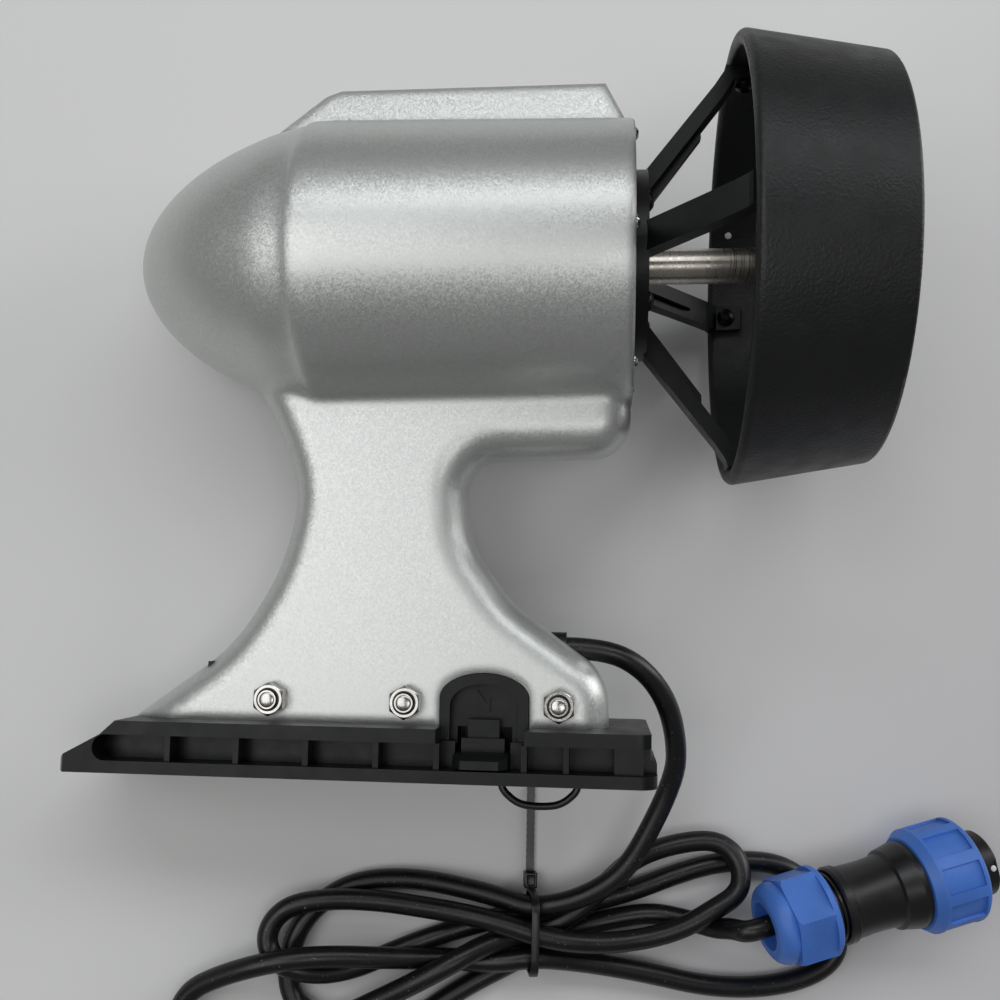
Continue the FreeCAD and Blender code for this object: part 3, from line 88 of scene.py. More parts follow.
class NodeBoard:
    """The node tree of one new material, with short ways to add and join its nodes."""

    def __init__(self, name: str) -> None:
        """Start a material that holds one surface shader.

        Args:
            name: the finish's name.
        """
        self.material = bpy.data.materials.new(name)
        self.material.use_nodes = True
        self.tree = self.material.node_tree
        self.shader = self.tree.nodes["Principled BSDF"]
        self.place = self.add("ShaderNodeTexCoord").outputs["Object"]

    def add(self, kind: str, **inputs: float) -> bpy.types.Node:
        """Add a node.

        Args:
            kind: the node's type name.
            inputs: numbers for its sockets, by socket name.
        Returns:
            The new node.
        """
        node = self.tree.nodes.new(kind)
        for name, value in inputs.items():
            node.inputs[name].default_value = value
        return node

    def join(self, source: bpy.types.NodeSocket, target: bpy.types.NodeSocket) -> None:
        """Link an output to an input.

        Args:
            source: the output.
            target: the input.
        """
        self.tree.links.new(source, target)

    def set(self, **values: float) -> None:
        """Set constant numbers on the shader.

        Args:
            values: numbers by socket name, with an underscore for a space.
        """
        for name, value in values.items():
            self.shader.inputs[name.replace("_", " ")].default_value = value

    def noise(self, size: float, detail: float = 2.0,
              place: bpy.types.NodeSocket | None = None) -> bpy.types.NodeSocket:
        """Add a soft noise.

        Args:
            size: the width of one spot.
            detail: how many finer layers it has.
            place: where it reads its place, the object's own space if left out.
        Returns:
            The noise's value socket.
        """
        node = self.add("ShaderNodeTexNoise", Scale=1 / size, Detail=detail)
        self.join(place or self.place, node.inputs["Vector"])
        return node.outputs["Fac"]

    def ramp(self, value: bpy.types.NodeSocket, low: float, high: float,
             to_low: float, to_high: float) -> bpy.types.NodeSocket:
        """Map a value from one range to another and keep it inside.

        Args:
            value: the socket to read.
            low: where the range starts.
            high: where the range ends.
            to_low: the result at its start.
            to_high: the result at its end.
        Returns:
            The mapped value's socket.
        """
        node = self.tree.nodes.new("ShaderNodeMapRange")
        for name, number in (("From Min", low), ("From Max", high), ("To Min", to_low), ("To Max", to_high)):
            node.inputs[name].default_value = number
        self.join(value, node.inputs["Value"])
        return node.outputs["Result"]

    def blend(self, share: bpy.types.NodeSocket, first: Colour, second: Colour) -> bpy.types.NodeSocket:
        """Mix two colours.

        Args:
            share: how much of the second colour is taken.
            first: the colour at share 0.
            second: the colour at share 1.
        Returns:
            The mixed colour's socket.
        """
        node = self.tree.nodes.new("ShaderNodeMix")
        node.data_type = "RGBA"
        node.inputs["A"].default_value = (*first, 1)
        node.inputs["B"].default_value = (*second, 1)
        self.join(share, node.inputs["Factor"])
        return node.outputs["Result"]

    def paint_over(self, share: bpy.types.NodeSocket, under: bpy.types.NodeSocket,
                   colour: Colour) -> bpy.types.NodeSocket:
        """Lay a colour over another one.

        Args:
            share: how much of the colour covers.
            under: the socket of the colour below.
            colour: the colour on top.
        Returns:
            The result's socket.
        """
        node = self.tree.nodes.new("ShaderNodeMix")
        node.data_type = "RGBA"
        node.inputs["B"].default_value = (*colour, 1)
        self.join(share, node.inputs["Factor"])
        self.join(under, node.inputs["A"])
        return node.outputs["Result"]

    def bump(self, height: bpy.types.NodeSocket, depth: float) -> None:
        """Roughen the surface.

        Args:
            height: the socket that says where it rises.
            depth: how far it rises.
        """
        node = self.add("ShaderNodeBump", Strength=1.0, Distance=depth)
        self.join(height, node.inputs["Height"])
        self.join(node.outputs["Normal"], self.shader.inputs["Normal"])


def shade(colour: Colour, factor: float) -> Colour:
    """Make a colour lighter or darker.

    Args:
        colour: the colour to start from.
        factor: above 1 for lighter, below 1 for darker.
    Returns:
        The new colour.
    """
    return tuple(min(1.0, part * factor) for part in colour)


@dataclass(frozen=True)
class MetallicPaint:
    """Silver lacquer with fine metal flakes under a thin clear coat."""

    name: str
    colour: Colour
    roughness: float = 0.40
    metallic: float = 0.80
    flake: float = 0.36 * MILLIMETRE
    flake_tilt: float = 0.10
    flake_contrast: float = 0.07
    coat: float = 0.30
    coat_roughness: float = 0.16
    edge_softness: float = 4 * MILLIMETRE

    def material(self) -> bpy.types.Material:
        """Build the finish.

        Returns:
            Its material.
        """
        board = NodeBoard(self.name)
        board.set(Metallic=self.metallic, Coat_Weight=self.coat, Coat_Roughness=self.coat_roughness)
        flakes = board.add("ShaderNodeTexVoronoi", Scale=1 / self.flake, Randomness=1.0)
        board.join(board.place, flakes.inputs["Vector"])
        parts = board.add("ShaderNodeSeparateColor")
        board.join(flakes.outputs["Color"], parts.inputs["Color"])
        tone = board.blend(parts.outputs["Red"], shade(self.colour, 1 - self.flake_contrast),
                           shade(self.colour, 1 + self.flake_contrast))
        cloud = board.ramp(board.noise(35 * MILLIMETRE), 0.3, 0.7, 0.0, 0.10)
        board.join(board.paint_over(cloud, tone, shade(self.colour, 0.9)), board.shader.inputs["Base Color"])
        board.join(board.ramp(parts.outputs["Green"], 0.0, 1.0, self.roughness - 0.05, self.roughness + 0.05),
                   board.shader.inputs["Roughness"])
        offset = board.tree.nodes.new("ShaderNodeVectorMath")
        offset.operation = "MULTIPLY_ADD"
        offset.inputs[1].default_value = (self.flake_tilt,) * 3
        offset.inputs[2].default_value = (-self.flake_tilt / 2,) * 3
        board.join(flakes.outputs["Color"], offset.inputs[0])
        surface = board.add("ShaderNodeBevel", Radius=self.edge_softness)
        surface.samples = 6
        total = board.tree.nodes.new("ShaderNodeVectorMath")
        total.operation = "ADD"
        board.join(surface.outputs["Normal"], total.inputs[0])
        board.join(offset.outputs["Vector"], total.inputs[1])
        unit = board.tree.nodes.new("ShaderNodeVectorMath")
        unit.operation = "NORMALIZE"
        board.join(total.outputs["Vector"], unit.inputs[0])
        board.join(unit.outputs["Vector"], board.shader.inputs["Normal"])
        return board.material


@dataclass(frozen=True)
class Moulding:
    """Plastic or rubber with its grain, faint mottling and a little dust."""

    name: str
    colour: Colour
    roughness: float
    grain: Grain = Grain.SATIN
    grain_size: float = 0.5 * MILLIMETRE
    grain_depth: float = 0.03 * MILLIMETRE
    dust: float = 0.0
    specular: float = 0.5

    def material(self) -> bpy.types.Material:
        """Build the finish.

        Returns:
            Its material.
        """
        board = NodeBoard(self.name)
        board.set(Specular_IOR_Level=self.specular)
        cloud = board.noise(18 * MILLIMETRE, 4.0)
        tone = board.blend(board.ramp(cloud, 0.3, 0.7, 0.0, 1.0), shade(self.colour, 0.85),
                           shade(self.colour, 1.15))
        if self.dust:
            fine = board.noise(0.6 * MILLIMETRE, 1.0)
            speck = board.ramp(fine, 0.74 - self.dust, 0.80 - self.dust, 0.0, 0.5)
            tone = board.paint_over(speck, tone, (0.30, 0.30, 0.29))
        board.join(tone, board.shader.inputs["Base Color"])
        worn = board.noise(7 * MILLIMETRE, 3.0)
        board.join(board.ramp(worn, 0.3, 0.7, self.roughness - 0.06, self.roughness + 0.06),
                   board.shader.inputs["Roughness"])
        board.bump(self.height(board), self.grain_depth)
        return board.material

    def height(self, board: NodeBoard) -> bpy.types.NodeSocket:
        """The socket that the grain's height is read from.

        Args:
            board: the material being built.
        Returns:
            The height socket.
        """
        if self.grain is Grain.LEATHER:
            cells = board.add("ShaderNodeTexVoronoi", Scale=1 / self.grain_size, Randomness=1.0)
            cells.feature = "SMOOTH_F1"
            bend = board.add("ShaderNodeTexNoise", Scale=0.4 / self.grain_size)
            board.join(board.place, bend.inputs["Vector"])
            drift = board.tree.nodes.new("ShaderNodeVectorMath")
            drift.operation = "MULTIPLY_ADD"
            drift.inputs[1].default_value = (self.grain_size * 1.4,) * 3
            board.join(bend.outputs["Color"], drift.inputs[0])
            board.join(board.place, drift.inputs[2])
            board.join(drift.outputs["Vector"], cells.inputs["Vector"])
            return cells.outputs["Distance"]
        return board.noise(self.grain_size, 3.0)


@dataclass(frozen=True)
class BareMetal:
    """Metal without paint: turned, plated, cast or wound."""

    name: str
    colour: Colour
    roughness: float
    working: Working = Working.PLATED
    line_pitch: float = 0.25 * MILLIMETRE
    line_depth: float = 0.008 * MILLIMETRE
    turn: Place = (0.0, 0.0, 0.0)

    def material(self) -> bpy.types.Material:
        """Build the finish.

        Returns:
            Its material.
        """
        board = NodeBoard(self.name)
        board.set(Metallic=1.0)
        mapping = board.tree.nodes.new("ShaderNodeMapping")
        mapping.inputs["Rotation"].default_value = self.turn
        if self.working in (Working.TURNED, Working.WOUND):
            mapping.inputs["Scale"].default_value = (1.0, 0.02, 0.02)
        board.join(board.place, mapping.inputs["Vector"])
        lines = board.noise(self.line_pitch, 3.0, mapping.outputs["Vector"])
        stain = board.noise(6 * MILLIMETRE, 4.0)
        board.join(board.blend(board.ramp(stain, 0.3, 0.75, 0.0, 1.0), shade(self.colour, 1.08),
                               shade(self.colour, 0.78)), board.shader.inputs["Base Color"])
        board.join(board.ramp(lines, 0.3, 0.7, self.roughness - 0.07, self.roughness + 0.09),
                   board.shader.inputs["Roughness"])
        board.bump(lines, self.line_depth)
        return board.material


SHAFT_TURN = (0.0, math.radians(10.35), 0.0)
FINISHES = {
    "silver_paint": MetallicPaint("silver_lacquer", (0.56, 0.575, 0.56)),
    "cover_metal": BareMetal("turned_aluminium", (0.62, 0.63, 0.63), 0.38, Working.TURNED, turn=SHAFT_TURN),
    "duct_black": Moulding("duct_leather_grain", (0.0042, 0.0048, 0.0055), 0.46, Grain.LEATHER,
                           0.75 * MILLIMETRE, 0.09 * MILLIMETRE, 0.0, 0.42),
    "base_black": Moulding("base_satin", (0.0035, 0.0040, 0.0046), 0.38, Grain.SATIN, 0.8 * MILLIMETRE,
                           0.03 * MILLIMETRE, 0.0, 0.25),
    "tie_black": Moulding("tie_nylon", (0.004, 0.004, 0.005), 0.34, Grain.SATIN, 1.5 * MILLIMETRE,
                          0.02 * MILLIMETRE),
    "cable_black": Moulding("cable_jacket", (0.0035, 0.0035, 0.0040), 0.36, Grain.RUBBER, 0.35 * MILLIMETRE,
                            0.015 * MILLIMETRE, 0.02, 0.45),
    "seal_black": Moulding("seal_rubber", (0.02, 0.02, 0.02), 0.7, Grain.RUBBER),
    "plug_black": Moulding("plug_satin", (0.0055, 0.0055, 0.0062), 0.34, Grain.SATIN, 0.4 * MILLIMETRE,
                           0.02 * MILLIMETRE),
    "ring_blue": Moulding("ring_blue_satin", (0.055, 0.165, 0.55), 0.46, Grain.SATIN, 0.5 * MILLIMETRE,
                          0.03 * MILLIMETRE, 0.0, 0.45),
    "shaft_steel": BareMetal("ground_shaft", (0.56, 0.52, 0.46), 0.30, Working.TURNED, turn=SHAFT_TURN),
    "stainless": BareMetal("stainless", (0.46, 0.45, 0.43), 0.20),
    "screw_black": BareMetal("blackened_screw", (0.02, 0.02, 0.02), 0.35),
    "core_iron": BareMetal("sheet_iron", (0.24, 0.24, 0.25), 0.50, Working.TURNED, turn=SHAFT_TURN),
    "magnet_grey": BareMetal("nickel_magnet", (0.42, 0.43, 0.45), 0.30),
    "copper_wire": BareMetal("copper_winding", (0.55, 0.24, 0.10), 0.34, Working.WOUND, 0.9 * MILLIMETRE),
    "contact_gold": BareMetal("gold_contact", (0.80, 0.60, 0.22), 0.28),
    "lead_red": Moulding("lead_insulation", (0.35, 0.05, 0.04), 0.45, Grain.RUBBER),
}


class Wardrobe:
    """Builds each finish once and hands it out by the record's slot name."""

    def __init__(self) -> None:
        """Start with no material built."""
        self.built: dict[str, bpy.types.Material] = {}

    def material(self, slot: str) -> bpy.types.Material:
        """Find a slot's material, and build it at its first use.

        Args:
            slot: the record's slot name.
        Returns:
            The material.
        """
        if slot not in self.built:
            self.built[slot] = FINISHES[slot].material()
        return self.built[slot]

    def dress_solids(self) -> None:
        """Give every solid of the construction model the finish that its record names."""
        for entry in frame["record"]["subparts"]:
            solid = frame["nodes"][entry["node"]]
            solid.data.materials.clear()
            solid.data.materials.append(self.material(entry["material_slot"]))
            log.info("%s dressed in %s", entry["node"], entry["material_slot"])

    def dress(self, piece: bpy.types.Object, slot: str, body: str) -> None:
        """Dress a new piece in its slot's finish and let it ride on a body.

        Args:
            piece: the finished piece.
            slot: the record's slot name.
            body: the body that it moves with.
        """
        piece.data.materials.clear()
        piece.data.materials.append(self.material(slot))
        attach(piece, body)
        log.info("%s modelled, rides on %s", piece.name, body)


def deselect() -> None:
    """Leave nothing selected, so that an operator acts only on what comes next."""
    if bpy.context.object and bpy.context.object.mode != "OBJECT":
        bpy.ops.object.mode_set(mode="OBJECT")
    bpy.ops.object.select_all(action="DESELECT")


def finished(piece: bpy.types.Object, name: str, smooth: float = 30.0) -> bpy.types.Object:
    """Name a modelled piece, bake its place into its mesh and smooth its shading.

    Args:
        piece: the object just modelled.
        name: the name it gets.
        smooth: edges sharper than this angle, in degrees, stay sharp.
    Returns:
        The same object, at the origin.
    """
    deselect()
    piece.name = name
    piece.data.name = name
    piece.select_set(True)
    bpy.context.view_layer.objects.active = piece
    for modifier in list(piece.modifiers):
        bpy.ops.object.modifier_apply(modifier=modifier.name)
    bpy.ops.object.transform_apply(location=True, rotation=True, scale=True)
    bpy.ops.object.mode_set(mode="EDIT")
    bpy.ops.mesh.select_all(action="SELECT")
    bpy.ops.mesh.remove_doubles(threshold=1e-6)
    bpy.ops.mesh.normals_make_consistent(inside=False)
    bpy.ops.object.mode_set(mode="OBJECT")
    bpy.ops.object.shade_smooth_by_angle(angle=math.radians(smooth))
    return piece


def facing(direction: Vector) -> Matrix:
    """Find the turn that points a piece's own Z along a direction.

    Args:
        direction: where Z points to.
    Returns:
        The turn.
    """
    return direction.to_track_quat("Z", "Y").to_matrix().to_4x4()


@dataclass
class ThrusterAxes:
    """The thruster's own directions as it lies on the table, read from the model's joints."""

    along: Vector = field(init=False)
    keelward: Vector = field(init=False)
    nearward: Vector = field(init=False)
    origin: Vector = field(init=False)

    def __post_init__(self) -> None:
        """Read the shaft's axis and the latch's direction."""
        joints = {joint["name"]: joint for joint in frame["joints"]}
        self.along = Vector(joints["prop_spin"]["axis"]).normalized()
        self.keelward = Vector(joints["latch_slide"]["axis"]).normalized()
        self.nearward = self.along.cross(self.keelward).normalized()
        self.origin = Vector(joints["prop_spin"]["pos_m"])

    def place(self, along: float, keelward: float, nearward: float) -> Vector:
        """Find a point that is given along the thruster's own axes.

        Args:
            along: millimetres from the shaft joint's place towards the duct.
            keelward: millimetres from the shaft joint's place towards the keel.
            nearward: millimetres from the shaft joint's place up from the table.
        Returns:
            The point, in metres.
        """
        return self.origin + (self.along * along + self.keelward * keelward
                              + self.nearward * nearward) * MILLIMETRE


@dataclass
class Cable:
    """The cable from the column through its bundle of loops to the plug.

    The route's points are the control points of one smooth line. The first six follow the
    construction's run out of the column, the rest follow the loops on the table, each with the
    height at which it crosses the strands below it.
    """

    diameter: float = 0.0062
    length: float = 1.163
    bevel_steps: int = 5
    steps_per_point: int = 6
    route: list[Place] = field(default_factory=lambda: CABLE_ROUTE)

    def build(self, wardrobe: Wardrobe) -> bpy.types.Object:
        """Args:
            wardrobe: where its finish comes from.
        Returns:
            The cable.
        """
        line = bpy.data.curves.new("power_cable", "CURVE")
        line.dimensions = "3D"
        line.resolution_u = self.steps_per_point
        line.bevel_depth = self.diameter / 2
        line.bevel_resolution = self.bevel_steps
        line.use_fill_caps = True
        spline = line.splines.new("NURBS")
        spline.points.add(len(self.route) - 1)
        for point, place in zip(spline.points, self.route):
            point.co = (*place, 1.0)
        spline.order_u = 3
        spline.use_endpoint_u = True
        spline.use_smooth = True
        piece = bpy.data.objects.new("power_cable", line)
        bpy.context.scene.collection.objects.link(piece)
        wardrobe.dress(piece, "cable_black", "thruster")
        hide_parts("cable", "cable_hank", "cable_plug_lead")
        return piece


CABLE_ROUTE: list[Place] = [
    # out of the column
    (0.0240, -0.0640, 0.0443), (0.0348, -0.0640, 0.0462), (0.0454, -0.0684, 0.0454),
    (0.0540, -0.0775, 0.0410), (0.0590, -0.0895, 0.0330), (0.0605, -0.1010, 0.0250),
    # down to the tie
    (0.0510, -0.1225, 0.0195), (0.0455, -0.1300, 0.0175), (0.0395, -0.1345, 0.0160),
    (0.0325, -0.1380, 0.0145), (0.0255, -0.1400, 0.0125), (0.0190, -0.1410, 0.0110),
    # first loop, at the nose end
    (0.0105, -0.1385, 0.0090), (0.0010, -0.1365, 0.0070), (-0.0110, -0.1345, 0.0050),
    (-0.0215, -0.1340, 0.0040), (-0.0320, -0.1350, 0.0035), (-0.0410, -0.1390, 0.0032),
    (-0.0480, -0.1455, 0.0032), (-0.0515, -0.1525, 0.0032), (-0.0530, -0.1610, 0.0032),
    (-0.0510, -0.1690, 0.0035), (-0.0460, -0.1725, 0.0045), (-0.0400, -0.1740, 0.0055),
    (-0.0340, -0.1725, 0.0065), (-0.0270, -0.1690, 0.0075),
    # back over the third loop to the tie
    (-0.0160, -0.1630, 0.0115), (-0.0045, -0.1565, 0.0140), (0.0075, -0.1510, 0.0105),
    (0.0200, -0.1490, 0.0075),
    # small loop, at the plug end
    (0.0290, -0.1455, 0.0090), (0.0360, -0.1405, 0.0100), (0.0425, -0.1345, 0.0090),
    (0.0515, -0.1270, 0.0075), (0.0630, -0.1230, 0.0065), (0.0765, -0.1210, 0.0070),
    (0.0830, -0.1245, 0.0085), (0.0850, -0.1300, 0.0105), (0.0835, -0.1365, 0.0120),
    (0.0750, -0.1410, 0.0135), (0.0665, -0.1460, 0.0130), (0.0560, -0.1495, 0.0115),
    (0.0420, -0.1510, 0.0125), (0.0295, -0.1500, 0.0140),
    # second loop, at the nose end
    (0.0200, -0.1480, 0.0145), (0.0105, -0.1450, 0.0135), (-0.0005, -0.1430, 0.0110),
    (-0.0115, -0.1415, 0.0095), (-0.0260, -0.1395, 0.0095), (-0.0400, -0.1390, 0.0095),
    (-0.0520, -0.1410, 0.0085), (-0.0570, -0.1450, 0.0075), (-0.0590, -0.1495, 0.0075),
    (-0.0585, -0.1535, 0.0075), (-0.0560, -0.1570, 0.0085), (-0.0500, -0.1595, 0.0095),
    (-0.0410, -0.1610, 0.0070), (-0.0310, -0.1595, 0.0045), (-0.0190, -0.1545, 0.0032),
    (-0.0045, -0.1495, 0.0032), (0.0105, -0.1455, 0.0032), (0.0205, -0.1435, 0.0035),
    # large loop, round the plug's nut
    (0.0320, -0.1425, 0.0032), (0.0420, -0.1400, 0.0032), (0.0535, -0.1370, 0.0032),
    (0.0655, -0.1325, 0.0032), (0.0775, -0.1290, 0.0032), (0.0885, -0.1280, 0.0032),
    (0.0995, -0.1290, 0.0032), (0.1080, -0.1340, 0.0032), (0.1145, -0.1425, 0.0032),
    (0.1185, -0.1515, 0.0035), (0.1150, -0.1590, 0.0035), (0.1040, -0.1640, 0.0035),
    (0.0890, -0.1660, 0.0035), (0.0735, -0.1650, 0.0040), (0.0580, -0.1615, 0.0045),
    (0.0425, -0.1585, 0.0060), (0.0295, -0.1565, 0.0080),
    # third loop, beyond the picture's edge
    (0.0200, -0.1555, 0.0100), (0.0120, -0.1570, 0.0090), (0.0050, -0.1575, 0.0070),
    (-0.0030, -0.1570, 0.0055), (-0.0135, -0.1565, 0.0075), (-0.0240, -0.1555, 0.0110),
    (-0.0365, -0.1545, 0.0135), (-0.0485, -0.1545, 0.0155), (-0.0595, -0.1565, 0.0140),
    (-0.0720, -0.1610, 0.0095), (-0.0805, -0.1655, 0.0065), (-0.0840, -0.1720, 0.0055),
    (-0.0845, -0.1790, 0.0050), (-0.0800, -0.1855, 0.0040), (-0.0705, -0.1900, 0.0040),
    (-0.0575, -0.1912, 0.0035), (-0.0435, -0.1895, 0.0035), (-0.0300, -0.1845, 0.0035),
    (-0.0175, -0.1775, 0.0032),
    # back to the tie
    (-0.0060, -0.1695, 0.0032), (0.0045, -0.1635, 0.0032), (0.0130, -0.1595, 0.0032),
    (0.0205, -0.1555, 0.0032),
    # to the plug
    (0.0285, -0.1510, 0.0032), (0.0365, -0.1480, 0.0035), (0.0460, -0.1455, 0.0040),
    (0.0580, -0.1435, 0.0045), (0.0695, -0.1455, 0.0060), (0.0765, -0.1470, 0.0100),
    (0.0800, -0.1455, 0.0170), (0.0825, -0.1455, 0.0220), (0.0885, -0.1440, 0.0215),
    (0.0950, -0.1420, 0.0210),
]


@dataclass
class CableTie:
    """Nylon tie round the bundle: band, ratchet head and a long tail."""

    width: float = 0.0023
    thickness: float = 0.0010
    middle_x: float = 0.0202
    low: float = 0.0001
    high: float = 0.0186
    from_y: float = -0.1602
    to_y: float = -0.1363
    corner: float = 0.0056
    head_length: float = 0.0042
    head_width: float = 0.0039
    head_height: float = 0.0046
    tail_end_y: float = -0.1075
    band_edge_round: float = 0.00018
    head_overlap: float = 0.0004
    head_rim: float = 0.0008
    head_slot_depth: float = 0.0005
    head_edge_round: float = 0.0003
    tail_overlap: float = 0.0003
    tail_lift: float = 0.0002
    tail_steps: int = 24
    tooth_share: float = 0.6
    tooth_narrowing: float = 0.94
    tip_narrowing: float = 0.6

    def build(self, wardrobe: Wardrobe) -> bpy.types.Object:
        """Model the tie.

        Args:
            wardrobe: where its finish comes from.
        Returns:
            The tie as one piece.
        """
        parts = [self.band(), self.head(), self.tail()]
        deselect()
        for part in parts:
            part.select_set(True)
        bpy.context.view_layer.objects.active = parts[0]
        bpy.ops.object.join()
        tie = finished(bpy.context.object, "bundle_tie")
        wardrobe.dress(tie, "tie_black", "thruster")
        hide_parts("cable_tie")
        return tie

    def block(self, low: Place, high: Place) -> bpy.types.Object:
        """Add a box and leave it active, with nothing else selected.

        Args:
            low: its low corner.
            high: its high corner.
        Returns:
            The box.
        """
        deselect()
        bpy.ops.mesh.primitive_cube_add(size=1.0, location=[(a + b) / 2 for a, b in zip(low, high)])
        box = bpy.context.object
        box.scale = [b - a for a, b in zip(low, high)]
        bpy.ops.object.transform_apply(location=True, rotation=True, scale=True)
        return box

    def band(self) -> bpy.types.Object:
        """Model the band: a rounded box without its two open sides, given a wall.

        Returns:
            The band.
        """
        half = self.width / 2
        box = self.block((self.middle_x - half, self.from_y, self.low),
                         (self.middle_x + half, self.to_y, self.high))
        bpy.ops.object.mode_set(mode="EDIT")
        bpy.ops.mesh.select_mode(type="FACE")
        bpy.ops.mesh.select_all(action="DESELECT")
        bpy.ops.object.mode_set(mode="OBJECT")
        for face in box.data.polygons:
            face.select = abs(face.normal.x) > 0.9
        bpy.ops.object.mode_set(mode="EDIT")
        bpy.ops.mesh.delete(type="ONLY_FACE")
        bpy.ops.mesh.select_mode(type="EDGE")
        bpy.ops.mesh.select_all(action="DESELECT")
        bpy.ops.object.mode_set(mode="OBJECT")
        for edge in box.data.edges:
            a, b = (box.data.vertices[i].co for i in edge.vertices)
            edge.select = abs(a.x - b.x) > half
        bpy.ops.object.mode_set(mode="EDIT")
        bpy.ops.mesh.bevel(offset=self.corner, segments=8, profile=0.5)
        bpy.ops.object.mode_set(mode="OBJECT")
        wall = box.modifiers.new("wall", "SOLIDIFY")
        wall.thickness = self.thickness
        wall.offset = -1.0
        edge = box.modifiers.new("edge", "BEVEL")
        edge.width = self.band_edge_round
        edge.segments = 2
        edge.limit_method = "ANGLE"
        for name in ("wall", "edge"):
            bpy.ops.object.modifier_apply(modifier=name)
        return box

    def head(self) -> bpy.types.Object:
        """Model the ratchet head with its slot.

        Returns:
            The head.
        """
        half = self.head_width / 2
        box = self.block((self.middle_x - half, self.to_y - self.head_overlap, self.low),
                         (self.middle_x + half, self.to_y + self.head_length, self.low + self.head_height))
        bpy.ops.object.mode_set(mode="EDIT")
        bpy.ops.mesh.select_mode(type="FACE")
        bpy.ops.mesh.select_all(action="DESELECT")
        bpy.ops.object.mode_set(mode="OBJECT")
        for face in box.data.polygons:
            face.select = face.normal.y > 0.9 or face.normal.z > 0.9
        bpy.ops.object.mode_set(mode="EDIT")
        bpy.ops.mesh.inset(thickness=self.head_rim, use_individual=True)
        bpy.ops.mesh.extrude_region_shrink_fatten(
            TRANSFORM_OT_shrink_fatten={"value": -self.head_slot_depth})
        bpy.ops.object.mode_set(mode="OBJECT")
        edge = box.modifiers.new("edge", "BEVEL")
        edge.width = self.head_edge_round
        edge.segments = 3
        edge.limit_method = "ANGLE"
        bpy.ops.object.modifier_apply(modifier="edge")
        return box

    def tail(self) -> bpy.types.Object:
        """Model the tail: a flat strip with fine teeth that narrows to its tip.

        Returns:
            The tail.
        """
        half = self.width / 2
        start_y = self.to_y + self.head_length - self.tail_overlap
        strip_low = self.low + self.tail_lift
        strip = self.block((self.middle_x - half, start_y, strip_low),
                           (self.middle_x + half, start_y + self.thickness, strip_low + self.thickness))
        pitch = (self.tail_end_y - start_y) / self.tail_steps
        tooth = pitch * self.tooth_share
        for k in range(self.tail_steps):
            bpy.ops.object.mode_set(mode="EDIT")
            bpy.ops.mesh.select_mode(type="FACE")
            bpy.ops.mesh.select_all(action="DESELECT")
            bpy.ops.object.mode_set(mode="OBJECT")
            end = max(strip.data.polygons, key=lambda face: face.center.y)
            end.select = True
            bpy.ops.object.mode_set(mode="EDIT")
            bpy.ops.mesh.extrude_region_move(TRANSFORM_OT_translate={"value": (0, tooth, 0)})
            bpy.ops.mesh.extrude_region_move(TRANSFORM_OT_translate={"value": (0, pitch - tooth, 0)})
            factor = self.tooth_narrowing if k % 2 else 1 / self.tooth_narrowing
            if k == self.tail_steps - 1:
                factor = self.tip_narrowing
            bpy.ops.transform.resize(value=(factor, 1, 1))
            bpy.ops.object.mode_set(mode="OBJECT")
        return strip


@dataclass
class LatchSpring:
    """The coil spring behind the latch, modelled at its rest length.

    It has the size of the construction's spring, which keeps its rest length in a posed scene.
    Sizes and places are in millimetres along the thruster's own axes.
    """

    along: float = -39.4
    nearward: float = 5.42
    low_end: float = -138.2
    fixed_end: float = -130.5
    latch_travel: float = 4.0
    coil_radius: float = 2.1
    wire_radius: float = 0.32
    turns: int = 3
    play: float = 0.02
    wire_sides: int = 12
    steps_per_turn: int = 36

    def build(self, wardrobe: Wardrobe, axes: ThrusterAxes) -> None:
        """Model the coil.

        Args:
            wardrobe: where the finish comes from.
            axes: the thruster's directions.
        """
        length = self.fixed_end - self.low_end
        deselect()
        bpy.ops.mesh.primitive_circle_add(vertices=self.wire_sides, radius=self.wire_radius * MILLIMETRE,
                                          location=(self.coil_radius * MILLIMETRE, 0, 0),
                                          rotation=(math.radians(90), 0, 0))
        bpy.ops.object.transform_apply(location=True, rotation=True, scale=True)
        coil = bpy.context.object
        winding = coil.modifiers.new("winding", "SCREW")
        winding.axis = "Z"
        winding.angle = math.radians(360)
        winding.iterations = self.turns
        inset = self.wire_radius + self.play
        winding.screw_offset = (length - 2 * inset) / self.turns * MILLIMETRE
        winding.steps = self.steps_per_turn
        winding.render_steps = self.steps_per_turn
        start = axes.place(self.along, self.low_end + inset, self.nearward)
        coil.matrix_world = Matrix.Translation(start) @ facing(axes.keelward)
        coil = finished(coil, "latch_coil")
        bpy.ops.object.mode_set(mode="EDIT")
        bpy.ops.mesh.select_all(action="SELECT")
        bpy.ops.mesh.fill_holes(sides=0)
        bpy.ops.mesh.normals_make_consistent(inside=False)
        bpy.ops.object.mode_set(mode="OBJECT")
        wardrobe.dress(coil, "stainless", "thruster")
        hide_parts("latch_spring")
        tuple(axes.place(self.along, self.fixed_end, self.nearward))
        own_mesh(coil)


